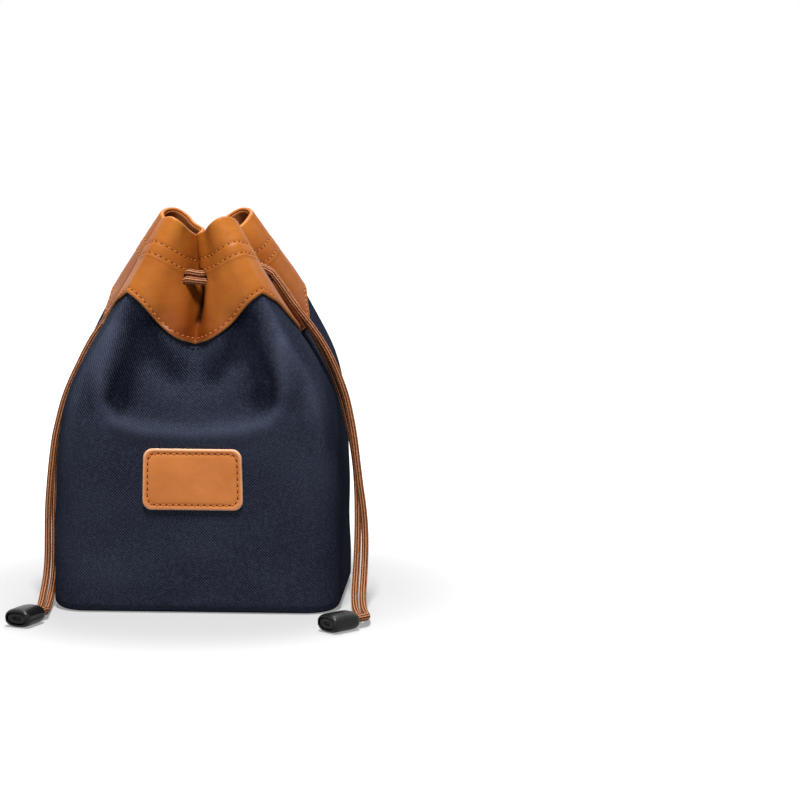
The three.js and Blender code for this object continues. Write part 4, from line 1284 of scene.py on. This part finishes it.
OVAL_POINTS = 72
OVAL_ANGLES = turns(OVAL_POINTS)
OVAL_POWER = 0.8
NOTCH_DEPTH = 0.0004
NOTCH_WIDTH = 0.16
NOTCH_START = (0.0035, 0.0050)
NOTCH_END = (SHELL_LENGTH - 0.0008, SHELL_LENGTH - 0.0018)
KNOT_RINGS = 17
KNOT_TAPER = 0.55
KNOT_LOBES = 5
KNOT_LOBE_DEPTH = 0.06
KNOT_TWIST = 4
PLUG_FACE = SHELL_LENGTH - PLUG_RECESS
SHELL_OUTSIDE = [
    (0.0, -0.0014), (0.0001, -0.0009), (0.0005, -0.0005), (0.0012, -0.00025), (0.0025, -0.0001),
    (0.0045, 0.0), (0.0070, 0.0), (0.0095, 0.0), (0.0120, 0.0), (0.0140, 0.0), (0.0150, -0.0001),
    (0.0158, -0.0003), (0.0164, -0.0006), (0.0168, -0.0010), (SHELL_LENGTH, -0.0014),
]
SHELL_INSIDE = [
    (SHELL_LENGTH - 0.0002, -0.00158), (SHELL_LENGTH - 0.0008, -SHELL_WALL), (SHELL_ENTRY_WALL, -SHELL_WALL),
]
PLUG_OUTSIDE = [
    (-PLUG_HEAD - PLUG_STEM, -0.0014), (-PLUG_HEAD - PLUG_STEM + 0.0003, -0.001), (-PLUG_HEAD, -0.001),
    (-PLUG_HEAD, -0.0002), (-PLUG_HEAD + 0.0003, 0.0), (-0.0005, 0.0), (-0.00015, -0.0002), (0.0, -0.0005),
]
PLUG_SLOT = [
    (0.0, 0.0026, 0.0010), (0.0001, 0.0025, 0.0009), (0.0008, 0.0025, 0.0009), (0.0008, 0.0020, 0.0005),
    (0.0005, 0.00195, 0.00045), (0.0005, 0.0002, 0.0001),
]


def oval(x, half_width, half_height, notch=0.0):
    """A ring across X, with a shallow notch at each side."""
    y = half_width * power(np.cos(OVAL_ANGLES), OVAL_POWER)
    z = half_height * power(np.sin(OVAL_ANGLES), OVAL_POWER)
    inward = notch * bell(np.sin(OVAL_ANGLES) / NOTCH_WIDTH)
    return np.stack([np.full(OVAL_POINTS, x), y - inward * np.sign(np.cos(OVAL_ANGLES)), z], -1)


def end_piece(name, rows, info, around, *placing, **options):
    """A piece of a cord end, turned and moved from its own frame to where it lies."""
    rows = np.asarray(rows)
    entry, along, across = end_axes(info)
    placed = entry + rows[..., :1] * along + rows[..., 1:2] * across + rows[..., 2:] * (0, 0, 1)
    return lattice_piece(name, placed, np.linspace(0, around, OVAL_POINTS + 1), line_lengths(rows[:, 0]),
                         *placing, **options)


def make_shell(name, info):
    width, height = SHELL_HALF_WIDTH, SHELL_HALF_HEIGHT
    rows = [oval(0, ENTRY_HALF_WIDTH, ENTRY_HALF_HEIGHT)]
    for x, grow in SHELL_OUTSIDE:
        notch = NOTCH_DEPTH * ramp(x, *NOTCH_START) * ramp(x, *NOTCH_END)
        rows.append(oval(x, width + grow, height + grow, notch))
    rows += [oval(x, width + grow, height + grow) for x, grow in SHELL_INSIDE]
    rows.append(oval(SHELL_ENTRY_WALL, ENTRY_HALF_WIDTH, ENTRY_HALF_HEIGHT))
    return end_piece(f"{name}_shell_moulding", rows, info, 4 * width, MOULDED, "moulded",
                     f"{name}_end_shell", f"{name}_pull", loop=True)


def plug_box(x, half_width, half_height):
    """A rectangular ring, with a point for each point of an oval one."""
    cosine, sine = np.cos(OVAL_ANGLES), np.sin(OVAL_ANGLES)
    reach = np.maximum(np.abs(cosine) / half_width, np.abs(sine) / half_height)
    return np.stack([np.full(OVAL_POINTS, x), cosine / reach, sine / reach], -1)


def make_plug(name, info):
    """The plug, with a rectangular recess in its face and a raised bar on the recess's floor."""
    rows = [oval(PLUG_FACE + x, PLUG_HALF_WIDTH + grow, PLUG_HALF_HEIGHT + grow) for x, grow in PLUG_OUTSIDE]
    rows += [plug_box(PLUG_FACE - depth, *half_sizes) for depth, *half_sizes in PLUG_SLOT]
    return end_piece(f"{name}_plug_moulding", rows, info, 4 * SHELL_HALF_WIDTH, MOULDED, "moulded",
                     f"{name}_end_plug", f"{name}_plug", caps=True)


def make_knot(name, info):
    """The knotted ends of both strands, as one lump in the shell."""
    start, stop = SHELL_ENTRY_WALL + JOIN_GAP, PLUG_FACE - PLUG_HEAD - PLUG_STEM - JOIN_GAP
    rows = []
    for part in np.linspace(-1, 1, KNOT_RINGS):
        scale = 1 - abs(part) ** 4 * KNOT_TAPER
        x = (start + stop) / 2 + (stop - start) / 2 * part
        ring = oval(x, PLUG_HALF_WIDTH * scale, PLUG_HALF_HEIGHT * scale)
        lobes = 1 + np.cos(OVAL_ANGLES * KNOT_LOBES + part * KNOT_TWIST)
        ring[:, 1:] *= 1 - KNOT_LOBE_DEPTH * lobes[:, None]
        rows.append(ring)
    return end_piece(f"{name}_knot_cord", rows, info, 1, CORD, "cord", f"{name}_end_knot", f"{name}_pull",
                     caps=True)


def make_cord_end(name, info):
    return [make(name, info) for make in (make_shell, make_plug, make_knot)]


# Slots cut through the collar and its facing, and the eyelets of the side slots

SLOT_SIDES = 32
SIDE_SLOT_GROW = (0.0015, 0.0031)
PEG_ENDS = (-0.0025, 0.0036)
SLOTS = [(place, (0, 0)) for place in (FRONT_SLOT, -FRONT_SLOT, 2 - FRONT_SLOT, 2 + FRONT_SLOT)]
SLOTS += [(wall + way * SIDE_SLOT, SIDE_SLOT_GROW) for wall in (1, 3) for way in (-1, 1)]
EYELET_SIDES = 48
EYELET_SEAT = LEATHER_OUTER + 0.0005
EYELET_GROW = (0.0008, 0.0024)
EYELET_ROUND = 0.03
EYELET_PROFILE = [
    (0.0, -0.0005), (0.0006, -0.0005), (0.0006, EYELET_SEAT), (0.0015, EYELET_SEAT),
    (0.0017, EYELET_SEAT + 0.0003), (0.0015, EYELET_SEAT + 0.0007), (0.0008, EYELET_SEAT + 0.0009),
    (0.0002, EYELET_SEAT + 0.0007), (0.0, EYELET_SEAT + 0.0003),
]


def slot_ring(place, grow_across, grow_up, offset, sides):
    """An oval ring round a slot, larger than it by the two growths."""
    across = (SLOT_HALF_WIDTH + grow_across) * np.cos(turns(sides)) / metres_per_place(place)
    above = (SLOT_HALF_HEIGHT + grow_up) * np.sin(turns(sides))
    return wall_at(place + across, CORD_LEVEL + above, offset)


def make_eyelets():
    for name, place in (("right_front", 1 - SIDE_SLOT), ("right_rear", 1 + SIDE_SLOT),
                        ("left_rear", 3 - SIDE_SLOT), ("left_front", 3 + SIDE_SLOT)):
        rows = [slot_ring(place, EYELET_GROW[0] + grow, EYELET_GROW[1] + grow, offset, EYELET_SIDES)
                for grow, offset in EYELET_PROFILE]
        across, up = np.linspace(0, EYELET_ROUND, EYELET_SIDES + 1), line_lengths(np.array(rows)[:, 0])
        lattice_piece(f"eyelet_{name}_ring", rows, across, up, MOULDED, "moulded", f"eyelet_{name}",
                      loop=True)


def slot_cutter():
    """Closed pegs through every slot, as one mesh."""
    parts = []
    for place, grow in SLOTS:
        rows = [slot_ring(place, *grow, offset, SLOT_SIDES) for offset in PEG_ENDS]
        parts.append((np.vstack(rows), tube_faces(len(rows), SLOT_SIDES)))
    return add_object("slot_cutter", join_meshes("slot_cutter", parts))


def cut_slots(pieces):
    cutter = slot_cutter()
    for piece in pieces:
        cut = piece.modifiers.new("slots", "BOOLEAN")
        cut.object = cutter
        cut.operation = "DIFFERENCE"
        cut.solver = "EXACT"
        bpy.context.view_layer.update()
        graph = bpy.context.evaluated_depsgraph_get()
        cut_mesh = bpy.data.meshes.new_from_object(piece.evaluated_get(graph))
        piece.modifiers.clear()
        old = piece.data
        piece.data = cut_mesh
        bpy.data.meshes.remove(old)
    bpy.data.objects.remove(cutter)


# Floor and light

FLOOR_HALF_SIZE = 6.0
FLOOR_COLOUR = (0.34, 0.34, 0.34, 1)
FLOOR_GLOW_NEAR = 0.26
FLOOR_GLOW_START, FLOOR_GLOW_FULL = 0.08, 0.28
AMBIENT = 0.08
LAMPS = [
    ("key", (0.06, -0.42, 1.35), 0.3, 27.0),
    ("fill", (-0.20, -1.30, 0.42), 0.9, 3.2),
    ("top", (0.05, 0.60, 1.20), 0.4, 8.0),
]


def emptied(holder):
    """The node tree of a material or world, ready for new nodes."""
    holder.use_nodes = True
    holder.node_tree.nodes.clear()
    return Nodes(holder.node_tree)


def seen_directly(nodes):
    """1 where the surface is seen straight, in a mirror or through glass, and 0 for other light."""
    rays = nodes.node("LightPath").outputs
    either = nodes.math("MAXIMUM", rays["Is Camera Ray"], rays["Is Glossy Ray"])
    return nodes.math("MAXIMUM", either, rays["Is Transmission Ray"])


def floor_material():
    """A pale floor whose shade shows round the bag and that goes over to white further off."""
    material = bpy.data.materials.new("pale_floor")
    nodes = emptied(material)
    distance = nodes.add("VectorMath", {0: nodes.position()}, "Value", operation="LENGTH")
    glow = nodes.between(distance, FLOOR_GLOW_NEAR, 1.0, FLOOR_GLOW_START, FLOOR_GLOW_FULL,
                         interpolation_type="SMOOTHSTEP")
    strength = nodes.math("MULTIPLY", glow, seen_directly(nodes))
    diffuse = nodes.add("BsdfDiffuse", {"Color": FLOOR_COLOUR})
    both = nodes.add("AddShader", {0: diffuse, 1: nodes.add("Emission", {"Strength": strength})})
    nodes.node("OutputMaterial", {"Surface": both})
    return material


def make_floor():
    size = FLOOR_HALF_SIZE
    corners = [(-size, -size, 0), (size, -size, 0), (size, size, 0), (-size, size, 0)]
    mesh = new_mesh("floor", corners, [(0, 1, 2, 3)])
    mesh.materials.append(floor_material())
    add_object("floor", mesh)


def make_world():
    world = bpy.data.worlds.new("studio")
    scene.world = world
    nodes = emptied(world)
    strength = nodes.math("MAXIMUM", seen_directly(nodes), AMBIENT)
    background = nodes.add("Background", {"Color": (1, 1, 1, 1), "Strength": strength})
    nodes.node("OutputWorld", {"Surface": background})


def make_light(name, place, size, power_watts):
    """A square lamp that faces the middle of the bag."""
    data = bpy.data.lights.new(name, "AREA")
    data.size = size
    data.energy = power_watts
    light = add_object(name, data)
    light.location = place
    direction = Vector((0, 0, BAG_HEIGHT / 2)) - Vector(place)
    light.rotation_euler = direction.to_track_quat("-Z", "Y").to_euler()


make_cords()
make_canvas_body()
make_canvas_base()
cut_slots([make_collar(), make_facing()])
make_lining()
for wall_index, wall_name in enumerate(("front", "right", "back", "left")):
    make_foam_pad(wall_index, wall_name)
make_foam_base()
make_collar_stitching()
make_label()
make_eyelets()
make_floor()
make_world()
for lamp in LAMPS:
    make_light(*lamp)

scene.view_settings.view_transform = "Standard"
